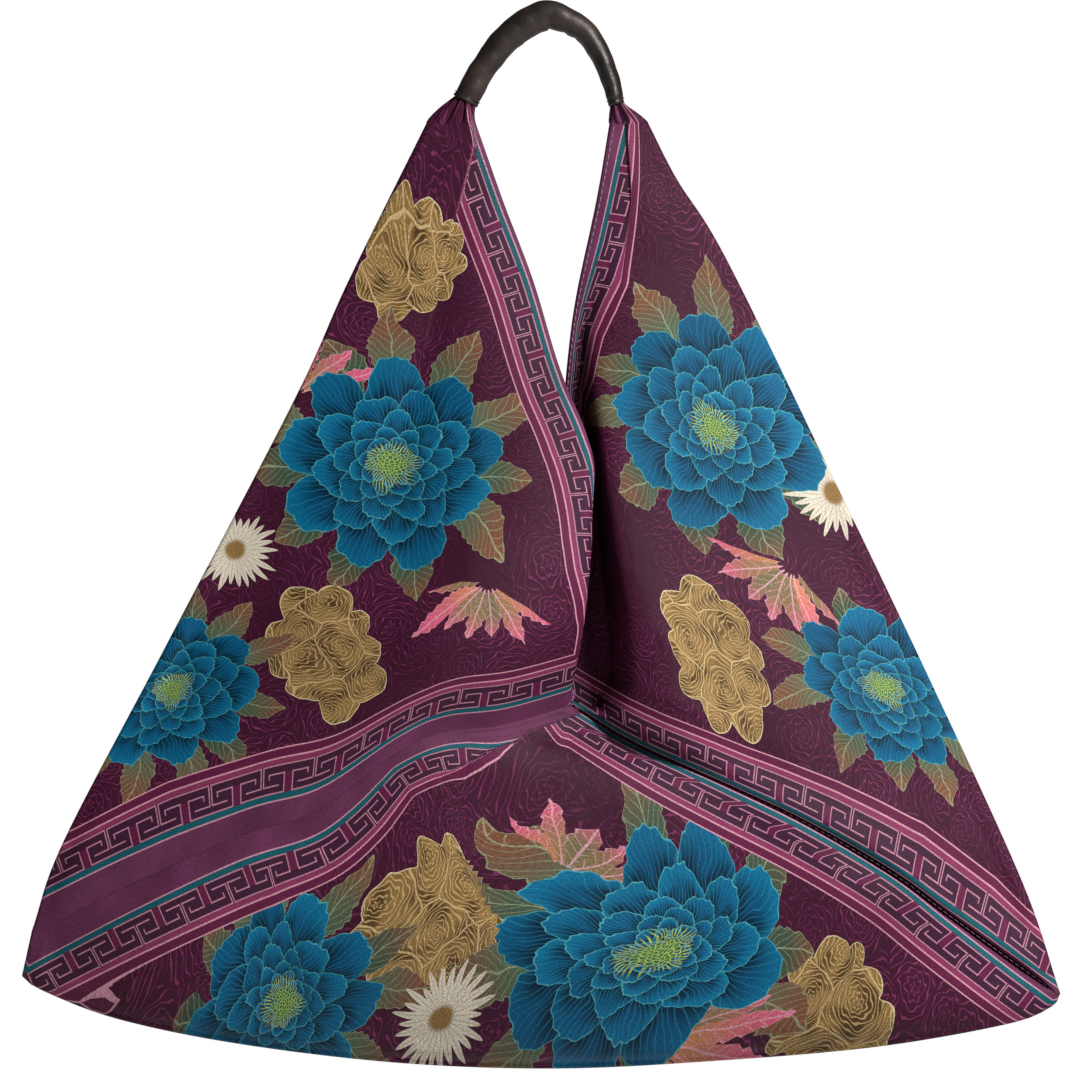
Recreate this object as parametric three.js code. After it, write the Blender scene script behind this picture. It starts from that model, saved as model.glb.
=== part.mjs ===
import * as THREE from "three";

// Triangle bag. One lined strip of cloth, three squares long, is folded so that its squares meet
// at a notch in the front and at another in the back. Each square is folded over along its
// diagonal: the left and right ones at the sides of the bag, the base one along the bottom.
// The corners left over are gathered into the two ends of a leather handle.
// Millimetres, Z up, front towards -Y. The origin is the underside of the handle where it hangs.

// Sizes of the handle
const SLEEVE_DIAMETER = 16.8;
const SLEEVE_WALL = 1.6;
const SLEEVE_SWELL = 2.1; // how far the bent top stands out past the straight legs
const HANDLE_SPREAD = 101.6; // between the centres of the two sleeve ends
const HANDLE_RISE = 59; // from the lower sleeve end up to the middle of the bend
const TUCK = 14; // length of cloth corner held inside each sleeve end
const END_STITCH_SETBACK = 3; // from the sleeve end to the stitching round it
const END_DROOP = 1.5; // free cloth between the sleeve ends and the line they fold about

// Sizes of the cloth body
const BAG_WIDTH = 699;
const BAG_HEIGHT = 697; // from the hanging point down to the bottom fold
const BAG_DEPTH = 104; // front to back at the fullest place
const NOTCH_RISE = 244; // from the bottom fold up to the notch that ends the mouth
const NOTCH_SHIFT = 20.2; // the notch lies this far right of the hanging point
const LEFT_CORNER_RISE = 92.2; // from the bottom fold up to where the side folds end
const RIGHT_CORNER_RISE = 49.8;
const CORNER_SIDE = 31; // from there down to the blunt lower left corner
const CORNER_LEAN = 6.8; // how far that corner stands out sideways
const LEFT_TIP_WIDTH = 33.2; // width of each lobe where it leaves the handle
const RIGHT_TIP_WIDTH = 25.6;

// Sizes of the layers and the sewing
const CLOTH = 1.2; // outer cloth
const LINING = 0.8;
const LAYER_GAP = 0.3;
const FOLD_SLACK = 1; // open space left inside a pressed fold, on each side of its middle
const HEM = 2.5; // from a mouth edge to its topstitching
const THREAD = 0.8;
const RUN_CLEARANCE = 1; // between the swinging sleeve ends and the cloth below

// How finely the pieces are drawn
const ROWS = 14; // rows of cloth from the point of a square to its far side
const FOLD_STEPS = 4;
const SLEEVE_STEPS = 22;
const SLEEVE_SIDES = 12;
const THREAD_SIDES = 6;

// Handle line from the left end over to the right one: shares of the spread and of the rise
const HANDLE_SHAPE = [
  [-0.5, -0.964], [-0.391, -0.617], [-0.219, -0.241], [0, 0], [0.146, -0.03],
  [0.298, -0.19], [0.391, -0.434], [0.457, -0.71], [0.5, -1],
];

// Lines on the cloth: share of the way along, share aside, share of the fullness
const LEFT_MOUTH_SHAPE = [
  [0.134, 0.024, 0.1], [0.277, 0.053, 0.22], [0.417, 0.071, 0.45], [0.556, 0.095, 0.71],
  [0.662, 0.093, 0.86], [0.779, 0.072, 0.92], [0.895, 0.04, 0.71],
];
const RIGHT_MOUTH_SHAPE = [
  [0.131, -0.014, 0.07], [0.339, -0.04, 0.1], [0.581, -0.043, 0.1], [0.889, -0.018, 0.13],
];
const LEFT_SIDE_SHAPE = [
  [0.194, -0.001, 0], [0.341, 0.003, 0], [0.643, -0.005, 0], [0.894, -0.012, 0],
];
const RIGHT_SIDE_SHAPE = [
  [0.065, 0.002, 0], [0.162, 0.013, 0], [0.417, 0.016, 0], [0.648, 0.017, 0], [0.877, 0.014, 0],
];
const LEFT_SEAM_SHAPE = [
  [0.125, -0.017, 0.75], [0.225, -0.046, 0.94], [0.31, -0.043, 0.96], [0.474, -0.005, 0.8],
  [0.61, -0.017, 0.61], [0.825, -0.012, 0.3],
];
const RIGHT_SEAM_SHAPE = [
  [0.135, 0, 0.49], [0.312, 0.02, 0.79], [0.465, 0.034, 0.86], [0.639, 0.035, 0.67],
  [0.763, 0.022, 0.47], [0.888, 0.01, 0.22],
];
const BOTTOM_SHAPE = [
  [0.02, -0.013, 0], [0.092, -0.039, 0], [0.208, -0.061, 0], [0.363, -0.077, 0],
  [0.517, -0.08, 0], [0.671, -0.07, 0], [0.825, -0.054, 0], [0.95, -0.03, 0], [0.991, -0.013, 0],
];
const TIP_FULLNESS = 0.035;
const NOTCH_FULLNESS = 0.19;
const BELLY_FULLNESS = 1.5; // how the base square swells between its seams and the bottom fold
const LOBE_FOLLOW = 3; // higher powers take up the shape of the far side of a square later
const LOBE_SWELL = 1.6;
const BASE_FOLLOW = 2;

const STACK = CLOTH + LAYER_GAP + LINING;
const FOLD_RADIUS = STACK + FOLD_SLACK;
const SLEEVE_RADIUS = SLEEVE_DIAMETER / 2;
const BORE_RADIUS = SLEEVE_RADIUS - SLEEVE_WALL;
const THREAD_RADIUS = THREAD / 2;
const THREAD_LIFT = LAYER_GAP + THREAD_RADIUS; // from a surface to the middle of thread on it
const NOTCH_LAP = STACK + THREAD + 3 * LAYER_GAP; // the left lobe lies this far over the right
const DEPTH_AXIS = new THREE.Vector3(0, 1, 0);
const UP_AXIS = new THREE.Vector3(0, 0, 1);

const leather = () =>
  new THREE.MeshStandardMaterial({ color: 0x2a2422, roughness: 0.5, metalness: 0 });
const printed = () =>
  new THREE.MeshStandardMaterial({ color: 0x54203d, roughness: 0.8, metalness: 0 });
const plain = () =>
  new THREE.MeshStandardMaterial({ color: 0x2c1420, roughness: 0.9, metalness: 0 });
const thread = () =>
  new THREE.MeshStandardMaterial({ color: 0x7a5063, roughness: 0.7, metalness: 0 });
const rope = () =>
  new THREE.MeshStandardMaterial({ color: 0xb9a88a, roughness: 0.9, metalness: 0 });

const flipped = (triangles) => triangles.map(([a, b, c]) => [a, c, b]);

// A closed body from its corners and triangles, turned so that its faces point out
function body(corners, triangles) {
  let volume = 0;
  const normal = new THREE.Vector3();
  for (const [a, b, c] of triangles) {
    volume += normal.crossVectors(corners[a], corners[b]).dot(corners[c]);
  }
  const facing = volume < 0 ? flipped(triangles) : triangles;
  const geometry = new THREE.BufferGeometry().setFromPoints(corners);
  geometry.setIndex(facing.flat());
  geometry.computeVertexNormals();
  return geometry;
}

// Triangles between two rows of corner numbers of equal length
function band(a, b) {
  const made = [];
  for (let k = 0; k + 1 < a.length; k += 1) {
    made.push([a[k], b[k], b[k + 1]], [a[k], b[k + 1], a[k + 1]]);
  }
  return made;
}

const closeRow = (row) => [...row, row[0]];
const numbersFrom = (start, count) => Array.from({ length: count }, (_, k) => start + k);

// A solid through rings of points; the ends are closed, or joined when it runs in a loop
function loft(rings, loop = false) {
  const sides = rings[0].length;
  const rows = rings.map((_, k) => numbersFrom(k * sides, sides));
  const triangles = rows.slice(1).flatMap((row, k) => band(closeRow(rows[k]), closeRow(row)));
  const last = rows[rows.length - 1];
  if (loop) {
    triangles.push(...band(closeRow(last), closeRow(rows[0])));
  } else {
    for (let k = 1; k + 1 < sides; k += 1) {
      triangles.push([rows[0][0], rows[0][k], rows[0][k + 1]]);
      triangles.push([last[0], last[k + 1], last[k]]);
    }
  }
  return body(rings.flat(), triangles);
}

// A tube with open ends, from its outer and inner rings
function pipe(outer, inner) {
  const sides = outer[0].length;
  const outside = outer.map((_, k) => closeRow(numbersFrom(k * sides, sides)));
  const inside = inner.map((_, k) => closeRow(numbersFrom((outer.length + k) * sides, sides)));
  const round = [...outside, ...inside.reverse(), outside[0]];
  const triangles = round.slice(1).flatMap((row, k) => band(round[k], row));
  return body([...outer.flat(), ...inner.flat()], triangles);
}

// Thread along a list of points, or round a closed loop of them
function strand(points, loop = false) {
  const count = points.length;
  const inRange = (k) => THREE.MathUtils.clamp(k, 0, count - 1);
  const at = (k) => points[loop ? (k + count) % count : inRange(k)];
  let side = null;
  const rings = points.map((point, k) => {
    const along = at(k + 1).clone().sub(at(k - 1)).normalize();
    const across = Math.abs(along.y) > 0.5 ? UP_AXIS : DEPTH_AXIS;
    side = side ?? new THREE.Vector3().crossVectors(along, across);
    side.addScaledVector(along, -side.dot(along)).normalize();
    return ring(point, side, new THREE.Vector3().crossVectors(along, side), THREAD_RADIUS,
      THREAD_RADIUS, THREAD_SIDES);
  });
  return loft(rings, loop);
}

function ring(centre, u, v, ru, rv, sides) {
  return numbersFrom(0, sides).map((k) => {
    const angle = (2 * Math.PI * k) / sides;
    return centre.clone()
      .addScaledVector(u, ru * Math.cos(angle))
      .addScaledVector(v, rv * Math.sin(angle));
  });
}

const mixRings = (a, b, share) => a.map((point, k) => point.clone().lerp(b[k], share));
const place = (x, z, depth = 0) => new THREE.Vector3(x, -depth, z);
const mirrored = (point) => new THREE.Vector3(point.x, -point.y, point.z);
const perpendicular = (v) => new THREE.Vector3(-v.z, 0, v.x);
const fullness = (share) => FOLD_RADIUS + share * (BAG_DEPTH / 2 - FOLD_RADIUS);
const smoothLine = (points) => new THREE.CatmullRomCurve3(points, false, "catmullrom", 0.5);

// A smooth line between two places, bent as its shape says; flat keeps it in the middle plane
function bentLine(from, to, shape, flat = false) {
  const way = new THREE.Vector3(to.x - from.x, 0, to.z - from.z);
  const aside = perpendicular(way);
  const middle = shape.map(([along, off, full]) => {
    const point = from.clone().addScaledVector(way, along).addScaledVector(aside, off);
    return place(point.x, point.z, flat ? 0 : fullness(full));
  });
  return smoothLine([from, ...middle, to]);
}

// Handle: stations along its line, close together where the cloth is tucked in
const handleTop = SLEEVE_RADIUS + SLEEVE_SWELL;
const handleLine = smoothLine(
  HANDLE_SHAPE.map(([x, z]) => place(x * HANDLE_SPREAD, handleTop + z * HANDLE_RISE)),
);
const handleLength = handleLine.getLength();
const stations = [
  0, TUCK / 2,
  ...numbersFrom(0, SLEEVE_STEPS + 1).map((k) => TUCK + ((handleLength - 2 * TUCK) * k) / SLEEVE_STEPS),
  handleLength - TUCK / 2, handleLength,
];

function handleRing(station, radius) {
  const share = station / handleLength;
  const out = perpendicular(handleLine.getTangentAt(share)).normalize();
  const swell = SLEEVE_SWELL * Math.sin(Math.PI * share) ** 2;
  return ring(handleLine.getPointAt(share), out, DEPTH_AXIS, radius + swell, radius, SLEEVE_SIDES);
}

const sleeveRings = stations.map((s) => handleRing(s, SLEEVE_RADIUS));
const boreRings = stations.map((s) => handleRing(s, BORE_RADIUS));
const fillRings = stations.map((s) => handleRing(s, BORE_RADIUS - LAYER_GAP));
const TUCKED = 2; // number of the station where the tucked cloth ends and the filling starts

function handleCore() {
  const inner = fillRings.slice(TUCKED, fillRings.length - TUCKED);
  const step = (handleLength - 2 * TUCK) / SLEEVE_STEPS;
  const pulledIn = LAYER_GAP / step;
  const first = mixRings(inner[0], inner[1], pulledIn);
  const last = mixRings(inner[inner.length - 1], inner[inner.length - 2], pulledIn);
  return loft([first, ...inner.slice(1, -1), last]);
}

// The seam of the sleeve runs along its back, clear of the stitching round each end
function handleSeam() {
  const lifted = stations.map((s) => handleRing(s, SLEEVE_RADIUS + THREAD_LIFT)[SLEEVE_SIDES / 4]);
  const clear = (END_STITCH_SETBACK + 2 * THREAD_LIFT + THREAD) / (TUCK / 2);
  const first = lifted[0].clone().lerp(lifted[1], clear);
  const last = lifted[lifted.length - 1].clone().lerp(lifted[lifted.length - 2], clear);
  return strand([first, ...lifted.slice(1, -1), last]);
}

function endStitching(end, next) {
  const lifted = [end, next].map((s) => handleRing(s, SLEEVE_RADIUS + THREAD_LIFT));
  return strand(mixRings(lifted[0], lifted[1], END_STITCH_SETBACK / (TUCK / 2)), true);
}

// The bag folds about a line just below both sleeve ends, and its firm cloth starts under them
const lastStation = stations.length - 1;
const lowestOfSleeve = Math.min(
  ...[...sleeveRings[0], ...sleeveRings[lastStation]].map((point) => point.z),
);
const hingeHeight = lowestOfSleeve - END_DROOP;
const tipHeight = hingeHeight - SLEEVE_RADIUS - RUN_CLEARANCE;

// Fixed places on the cloth
const leftEnd = handleLine.getPointAt(0);
const rightEnd = handleLine.getPointAt(1);
const tipDepth = fullness(TIP_FULLNESS);
const leftTip = place(leftEnd.x + BORE_RADIUS, tipHeight, tipDepth);
const rightTip = place(rightEnd.x - SLEEVE_RADIUS / 2, tipHeight, tipDepth);
const leftShoulder = place(leftTip.x - LEFT_TIP_WIDTH, tipHeight);
const rightShoulder = place(rightTip.x + RIGHT_TIP_WIDTH, tipHeight);
const bottom = -BAG_HEIGHT;
const notch = place(NOTCH_SHIFT, bottom + NOTCH_RISE, fullness(NOTCH_FULLNESS));
const leftCorner = place(CORNER_LEAN - BAG_WIDTH / 2, bottom + LEFT_CORNER_RISE);
const rightCorner = place(BAG_WIDTH / 2, bottom + RIGHT_CORNER_RISE);
const leftHeel = place(leftCorner.x - CORNER_LEAN, leftCorner.z - CORNER_SIDE);

// The folded outline, from the left shoulder round the bottom to the right shoulder
const leftSide = bentLine(leftShoulder, leftCorner, LEFT_SIDE_SHAPE, true);
const bottomFold = bentLine(leftHeel, rightCorner, BOTTOM_SHAPE, true);
const rightSide = bentLine(rightShoulder, rightCorner, RIGHT_SIDE_SHAPE, true);
const sideShares = numbersFrom(0, ROWS).map((k) => k / (ROWS - 1));
const outline = [
  ...sideShares.map((share) => leftSide.getPointAt(share)),
  ...sideShares.map((share) => bottomFold.getPointAt(share)),
  ...sideShares.slice(0, -1).reverse().map((share) => rightSide.getPointAt(share)),
];

// Each fold is a half circle of cloth round an axis that lies one radius inside the outline
const folds = outline.map((point, k) => {
  const before = outline[Math.max(k - 1, 0)];
  const after = outline[Math.min(k + 1, outline.length - 1)];
  const out = perpendicular(before.clone().sub(after)).normalize();
  return { axis: point.clone().addScaledVector(out, -FOLD_RADIUS), out };
});
const leftFolds = folds.slice(0, ROWS);
const bottomFolds = folds.slice(ROWS - 1, 2 * ROWS);
const rightFolds = folds.slice(2 * ROWS - 1).reverse();

function foldPoint({ axis, out }, angle) {
  const turned = out.clone().multiplyScalar(Math.sin(angle));
  turned.y = -Math.cos(angle);
  return { at: axis.clone().addScaledVector(turned, FOLD_RADIUS), inward: turned.negate() };
}

const foldAngles = numbersFrom(1, FOLD_STEPS - 1).map((k) => (Math.PI * k) / FOLD_STEPS);
const frontOfFold = (fold) => foldPoint(fold, 0).at;
const backOf = ({ at, inward }) => ({ at: mirrored(at), inward: mirrored(inward) });
const facingFront = (at) => ({ at, inward: DEPTH_AXIS.clone() });

const leftMouth = bentLine(leftTip, notch, LEFT_MOUTH_SHAPE);
const rightMouth = bentLine(rightTip, notch, RIGHT_MOUTH_SHAPE);
const leftSeam = bentLine(notch, frontOfFold(leftFolds[ROWS - 1]), LEFT_SEAM_SHAPE);
const rightSeam = bentLine(notch, frontOfFold(rightFolds[ROWS - 1]), RIGHT_SEAM_SHAPE);

// Where a row bends away from the straight line between its two ends, as its far side does
function bow(line, share, flatness) {
  const straight = line.getPointAt(0).lerp(line.getPointAt(1), share);
  return line.getPointAt(share).sub(straight).multiply(flatness);
}

// Front half of a lobe: rows run from the mouth edge to the side fold and widen downwards
function lobeRow(row, mouth, seam, sideFolds, lap) {
  const down = row / ROWS;
  const start = mouth.getPointAt((row - 1) / (ROWS - 1));
  const end = frontOfFold(sideFolds[row - 1]);
  const flat = down ** LOBE_FOLLOW;
  const follow = new THREE.Vector3(flat, down ** LOBE_SWELL, flat);
  const points = numbersFrom(0, row + 1).map((k) => {
    const across = k / row;
    return start.clone().lerp(end, across).add(bow(seam, across, follow));
  });
  if (row === ROWS) {
    points[0].y -= lap;
  }
  const hem = points[0].clone().lerp(points[1], HEM / points[0].distanceTo(points[1]));
  return [points[0], hem, ...points.slice(1)];
}

// The front of the bottom fold, at a share of its way from the left corner to the right one
function bottomAt(share) {
  const low = Math.min(Math.floor(share * ROWS), ROWS - 1);
  const after = frontOfFold(bottomFolds[low + 1]);
  return frontOfFold(bottomFolds[low]).lerp(after, share * ROWS - low);
}

// Front half of the base: rows run from the left seam to the right one and widen downwards
function baseRow(row) {
  const down = row / ROWS;
  const start = leftSeam.getPointAt(down);
  const end = rightSeam.getPointAt(down);
  const swell = (BAG_DEPTH / 2) * BELLY_FULLNESS * down ** 2 * Math.sqrt(1 - down);
  return numbersFrom(0, row + 1).map((k) => {
    const across = row ? k / row : 0;
    const sag = bottomAt(across).sub(bottomAt(0).lerp(bottomAt(1), across));
    const point = start.clone().lerp(end, across).addScaledVector(sag, down ** BASE_FOLLOW);
    point.y -= swell * 4 * across * (1 - across);
    return point;
  });
}

// Moves the points of an edge into the cloth by half the gap between two squares
function trimEdge(edge, inside) {
  const before = edge.map(({ at }) => at.clone());
  edge.forEach((point, k) => {
    const next = before[Math.min(k + 1, edge.length - 1)];
    const along = next.clone().sub(before[Math.max(k - 1, 0)]).normalize();
    const into = inside[k].clone().sub(before[k]);
    into.addScaledVector(along, -into.dot(along)).normalize();
    point.at.addScaledVector(into, LAYER_GAP / 2);
  });
}

// A folded lobe as rows of points, each from the front mouth edge round the fold to the back one
function lobeRows(mouth, seam, sideFolds, lap) {
  const rows = numbersFrom(1, ROWS).map((row) => {
    const front = lobeRow(row, mouth, seam, sideFolds, lap).map(facingFront);
    const fold = foldAngles.map((angle) => foldPoint(sideFolds[row - 1], angle));
    return [...front, ...fold, ...front.map(backOf).reverse()];
  });
  const above = rows[ROWS - 2];
  const last = rows[ROWS - 1];
  const inside = last.map((_, k) => {
    const pastFront = k > ROWS ? 1 : 0;
    const pastFold = k > ROWS + FOLD_STEPS + 1 ? 1 : 0;
    return above[k - pastFront - pastFold].at;
  });
  trimEdge(last, inside);
  return rows;
}

function numberRows(rows) {
  let next = 0;
  return rows.map((row) => {
    const numbers = numbersFrom(next, row.length);
    next += row.length;
    return numbers;
  });
}

// Triangles between a row of corner numbers and the next, which is one longer
const widening = (a, b) => [
  ...band(a, b.slice(0, a.length)),
  [a[a.length - 1], b[a.length - 1], b[a.length]],
];

function lobeTriangles(rows) {
  const numbered = numberRows(rows);
  return numbered.slice(1).flatMap((b, k) => {
    const a = numbered[k];
    const half = k + 3; // points from a mouth edge to the fold, with the one at the hem
    return [
      ...widening(a.slice(0, half), b.slice(0, half + 1)),
      ...band(a.slice(half - 1, 1 - half), b.slice(half, -half)),
      ...flipped(widening(a.slice(-half).reverse(), b.slice(-half - 1).reverse())),
    ];
  });
}

// The folded base as rows, from the front notch down round the bottom fold and up to the back
function baseRows() {
  const front = numbersFrom(0, ROWS + 1).map((row) => baseRow(row).map(facingFront));
  const fold = foldAngles.map((angle) => bottomFolds.map((at) => foldPoint(at, angle)));
  const rows = [...front, ...fold, ...front.map((row) => row.map(backOf)).reverse()];
  const sided = rows.slice(1, -1);
  const last = rows.length - 1;
  for (const [top, below] of [[rows[0][0], rows[1]], [rows[last][0], rows[last - 1]]]) {
    const into = below[0].at.clone().lerp(below[1].at, 0.5).sub(top.at).normalize();
    top.at.addScaledVector(into, LAYER_GAP);
  }
  const besides = sided.map((row) => [row[1].at.clone(), row[row.length - 2].at.clone()]);
  trimEdge(sided.map((row) => row[0]), besides.map(([left]) => left));
  trimEdge(sided.map((row) => row[row.length - 1]), besides.map(([, right]) => right));
  return rows;
}

function baseTriangles(rows) {
  const numbered = numberRows(rows);
  return numbered.slice(1).flatMap((b, k) => {
    const a = numbered[k];
    if (b.length > a.length) {
      return widening(a, b);
    }
    return b.length < a.length ? flipped(widening(b, a)) : band(a, b);
  });
}

// A layer of a folded square: its rows thickened between two depths under the outer face
function layer(rows, triangles, from, to) {
  const points = rows.flat();
  const sink = (depth) => points.map(({ at, inward }) => at.clone().addScaledVector(inward, depth));
  const count = points.length;
  const edges = new Set(triangles.flatMap(([a, b, c]) => [`${a} ${b}`, `${b} ${c}`, `${c} ${a}`]));
  const rim = [...edges]
    .map((edge) => edge.split(" ").map(Number))
    .filter(([a, b]) => !edges.has(`${b} ${a}`));
  return body(
    [...sink(from), ...sink(to)],
    [
      ...triangles,
      ...flipped(triangles).map((corners) => corners.map((corner) => corner + count)),
      ...rim.flatMap(([a, b]) => [[a, a + count, b + count], [a, b + count, b]]),
    ],
  );
}

// Topstitching on the outer face of a mouth edge, stopping short of both its ends
function hemThread(rows, back = false) {
  const path = rows.map((row, k) => {
    const before = rows[Math.max(k - 1, 0)][1].at;
    const after = rows[Math.min(k + 1, rows.length - 1)][1].at;
    const out = after.clone().sub(before).cross(row[2].at.clone().sub(row[0].at)).normalize();
    const lift = out.y < 0 ? THREAD_LIFT : -THREAD_LIFT;
    return row[1].at.clone().addScaledVector(out, lift);
  });
  path[0].lerp(path[1], HEM / path[0].distanceTo(path[1]));
  const end = path.length - 1;
  path[end].lerp(path[end - 1], HEM / path[end].distanceTo(path[end - 1]));
  return strand(back ? path.map(mirrored) : path);
}

// Thread of a sewn seam, on the inner face of the lining, stopping short of both its ends
function seamThread(seam, back = false) {
  const inset = STACK + THREAD_LIFT + LAYER_GAP;
  const path = numbersFrom(0, ROWS + 1).map((k) => {
    const point = seam.getPointAt(k / ROWS);
    point.y += inset + (k === 0 ? NOTCH_LAP / 2 : 0);
    return point;
  });
  path[0].lerp(path[1], HEM / path[0].distanceTo(path[1]));
  path[ROWS].lerp(path[ROWS - 1], HEM / path[ROWS].distanceTo(path[ROWS - 1]));
  return strand(back ? path.map(mirrored) : path);
}

// A ring with its points in the order that the flat ring of the right corner has
function turnedRing(points) {
  const half = points.length / 2;
  return points.map((_, k) => points[(half - k + points.length) % points.length]);
}

// Gathered corner: round inside the sleeve, then flattening to the width of its lobe
function cornerSolid(rings, outOfSleeve, tip, shoulder) {
  const last = rings[rings.length - 1];
  const mouth = last.map((point) => point.clone().addScaledVector(outOfSleeve, LAYER_GAP));
  const width = Math.abs(tip.x - shoulder.x) - FOLD_RADIUS;
  const middle = place((tip.x + shoulder.x) / 2, tipHeight + LAYER_GAP);
  const flat = ring(middle, new THREE.Vector3(-1, 0, 0), DEPTH_AXIS, width / 2, -tip.y, SLEEVE_SIDES);
  const blended = [1 / 3, 2 / 3].map((share) => mixRings(mouth, flat, share));
  return loft([...rings, mouth, ...blended, flat]);
}

const leftRows = lobeRows(leftMouth, leftSeam, leftFolds, NOTCH_LAP / 2);
const rightRows = lobeRows(rightMouth, rightSeam, rightFolds, -NOTCH_LAP / 2);
const bottomRows = baseRows();
const lobeFaces = lobeTriangles(leftRows);
const baseFaces = baseTriangles(bottomRows);

const bag = new THREE.Group();

function add(name, geometry, material) {
  const mesh = new THREE.Mesh(geometry, material);
  mesh.name = name;
  bag.add(mesh);
}

add("handle_sleeve", pipe(sleeveRings, boreRings), leather());
add("handle_core", handleCore(), rope());
add("handle_seam", handleSeam(), thread());
add("left_end_stitching", endStitching(stations[0], stations[1]), thread());
add("right_end_stitching", endStitching(stations[lastStation], stations[lastStation - 1]), thread());

const leftTucked = fillRings.slice(0, TUCKED + 1).reverse();
const rightTucked = fillRings.slice(-TUCKED - 1).map(turnedRing);
const leftWayOut = handleLine.getTangentAt(0).negate();
const rightWayOut = handleLine.getTangentAt(1);
add("left_corner", cornerSolid(leftTucked, leftWayOut, leftTip, leftShoulder), printed());
add("right_corner", cornerSolid(rightTucked, rightWayOut, rightTip, rightShoulder), printed());

const squares = [
  ["left", leftRows, lobeFaces],
  ["base", bottomRows, baseFaces],
  ["right", rightRows, lobeFaces],
];
for (const [name, rows, faces] of squares) {
  add(`${name}_square`, layer(rows, faces, 0, CLOTH), printed());
  add(`${name}_lining`, layer(rows, faces, CLOTH + LAYER_GAP, STACK), plain());
}

add("front_seam", seamThread(rightSeam), thread());
add("back_seam", seamThread(leftSeam, true), thread());
add("front_left_hem", hemThread(leftRows), thread());
add("front_right_hem", hemThread(rightRows), thread());
add("back_left_hem", hemThread(leftRows, true), thread());
add("back_right_hem", hemThread(rightRows, true), thread());

export default bag;
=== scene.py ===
import math

import bmesh
import bpy
import numpy as np
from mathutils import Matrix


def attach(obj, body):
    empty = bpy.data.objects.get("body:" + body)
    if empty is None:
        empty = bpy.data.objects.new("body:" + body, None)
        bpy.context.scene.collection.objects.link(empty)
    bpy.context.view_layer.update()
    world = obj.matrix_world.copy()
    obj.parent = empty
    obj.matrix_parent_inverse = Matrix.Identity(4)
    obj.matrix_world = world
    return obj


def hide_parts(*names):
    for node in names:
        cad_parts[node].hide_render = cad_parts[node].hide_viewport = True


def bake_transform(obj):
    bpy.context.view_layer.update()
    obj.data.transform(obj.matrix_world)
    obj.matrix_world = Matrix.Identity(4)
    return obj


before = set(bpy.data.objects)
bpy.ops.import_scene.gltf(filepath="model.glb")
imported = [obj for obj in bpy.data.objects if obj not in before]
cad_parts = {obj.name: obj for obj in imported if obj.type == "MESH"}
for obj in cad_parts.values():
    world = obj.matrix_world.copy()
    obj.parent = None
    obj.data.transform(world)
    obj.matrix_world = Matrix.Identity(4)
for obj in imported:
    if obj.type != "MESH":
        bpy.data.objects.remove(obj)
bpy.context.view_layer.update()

# A triangle bag: one lined strip of printed cloth, three squares long, folded and sewn so that
# it hangs from a short leather handle. Lengths are millimetres until a mesh is made.
# Front towards -Y, up is +Z, and the origin is the underside of the handle where it hangs.

MM = 0.001

# Sizes of the handle
SLEEVE_RADIUS = 8.4
SLEEVE_WALL = 1.6
SLEEVE_SWELL = 2.1
HANDLE_SPREAD = 101.6
HANDLE_RISE = 59
TUCK = 14
END_STITCH_SETBACK = 3
END_DROOP = 1.5
RUN_CLEARANCE = 1

# Sizes of the cloth body
SQUARE = 490  # side of each square of the strip
BAG_WIDTH = 699
BAG_HEIGHT = 697
BAG_DEPTH = 104
NOTCH_RISE = 244
NOTCH_SHIFT = 20.2
LEFT_CORNER_RISE = 92.2
RIGHT_CORNER_RISE = 49.8
CORNER_SIDE = 31
CORNER_LEAN = 6.8
LEFT_TIP_WIDTH = 33.2
RIGHT_TIP_WIDTH = 25.6
CLOTH = 1.2
LINING = 0.8
LAYER_GAP = 0.3
FOLD_SLACK = 1
HEM_TURN = 8  # width of cloth turned in along a mouth edge
HEM_ROLL = 1.9  # radius of the turned edge
SEAM_LIP = 4  # how far each cloth edge rolls into a sewn seam
LIP_INWARDS, LIP_ALONG = 0.9, 0.25  # shares of that roll into the bag and towards the seam
STITCH_LENGTH = 3.4
STITCH_PITCH = 4.8
THREAD_RADIUS = 0.4
SEAM_MARGIN = 0.012  # share of a cloth seam without stitches at each end
SLEEVE_MARGIN = 0.035  # the same for the seam along the handle's sleeve
FIRST_ROW = 1 / 14  # share of a square that lies above the tip of its lobe

# Handle line from the left end over to the right one: shares of the spread and of the rise
HANDLE_SHAPE = [
    (-0.5, -0.964), (-0.391, -0.617), (-0.219, -0.241), (0, 0), (0.146, -0.03),
    (0.298, -0.19), (0.391, -0.434), (0.457, -0.71), (0.5, -1),
]

# Lines on the cloth: share of the way along, share aside, share of the fullness
LEFT_MOUTH_SHAPE = [
    (0.134, 0.024, 0.1), (0.277, 0.053, 0.22), (0.417, 0.071, 0.45), (0.556, 0.095, 0.71),
    (0.662, 0.093, 0.86), (0.779, 0.072, 0.92), (0.895, 0.04, 0.71),
]
RIGHT_MOUTH_SHAPE = [
    (0.131, -0.014, 0.07), (0.339, -0.04, 0.1), (0.581, -0.043, 0.1), (0.889, -0.018, 0.13),
]
LEFT_SIDE_SHAPE = [(0.194, -0.001, 0), (0.341, 0.003, 0), (0.643, -0.005, 0), (0.894, -0.012, 0)]
RIGHT_SIDE_SHAPE = [
    (0.065, 0.002, 0), (0.162, 0.013, 0), (0.417, 0.016, 0), (0.648, 0.017, 0), (0.877, 0.014, 0),
]
LEFT_SEAM_SHAPE = [
    (0.125, -0.017, 0.75), (0.225, -0.046, 0.94), (0.31, -0.043, 0.96), (0.474, -0.005, 0.8),
    (0.61, -0.017, 0.61), (0.825, -0.012, 0.3),
]
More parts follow.
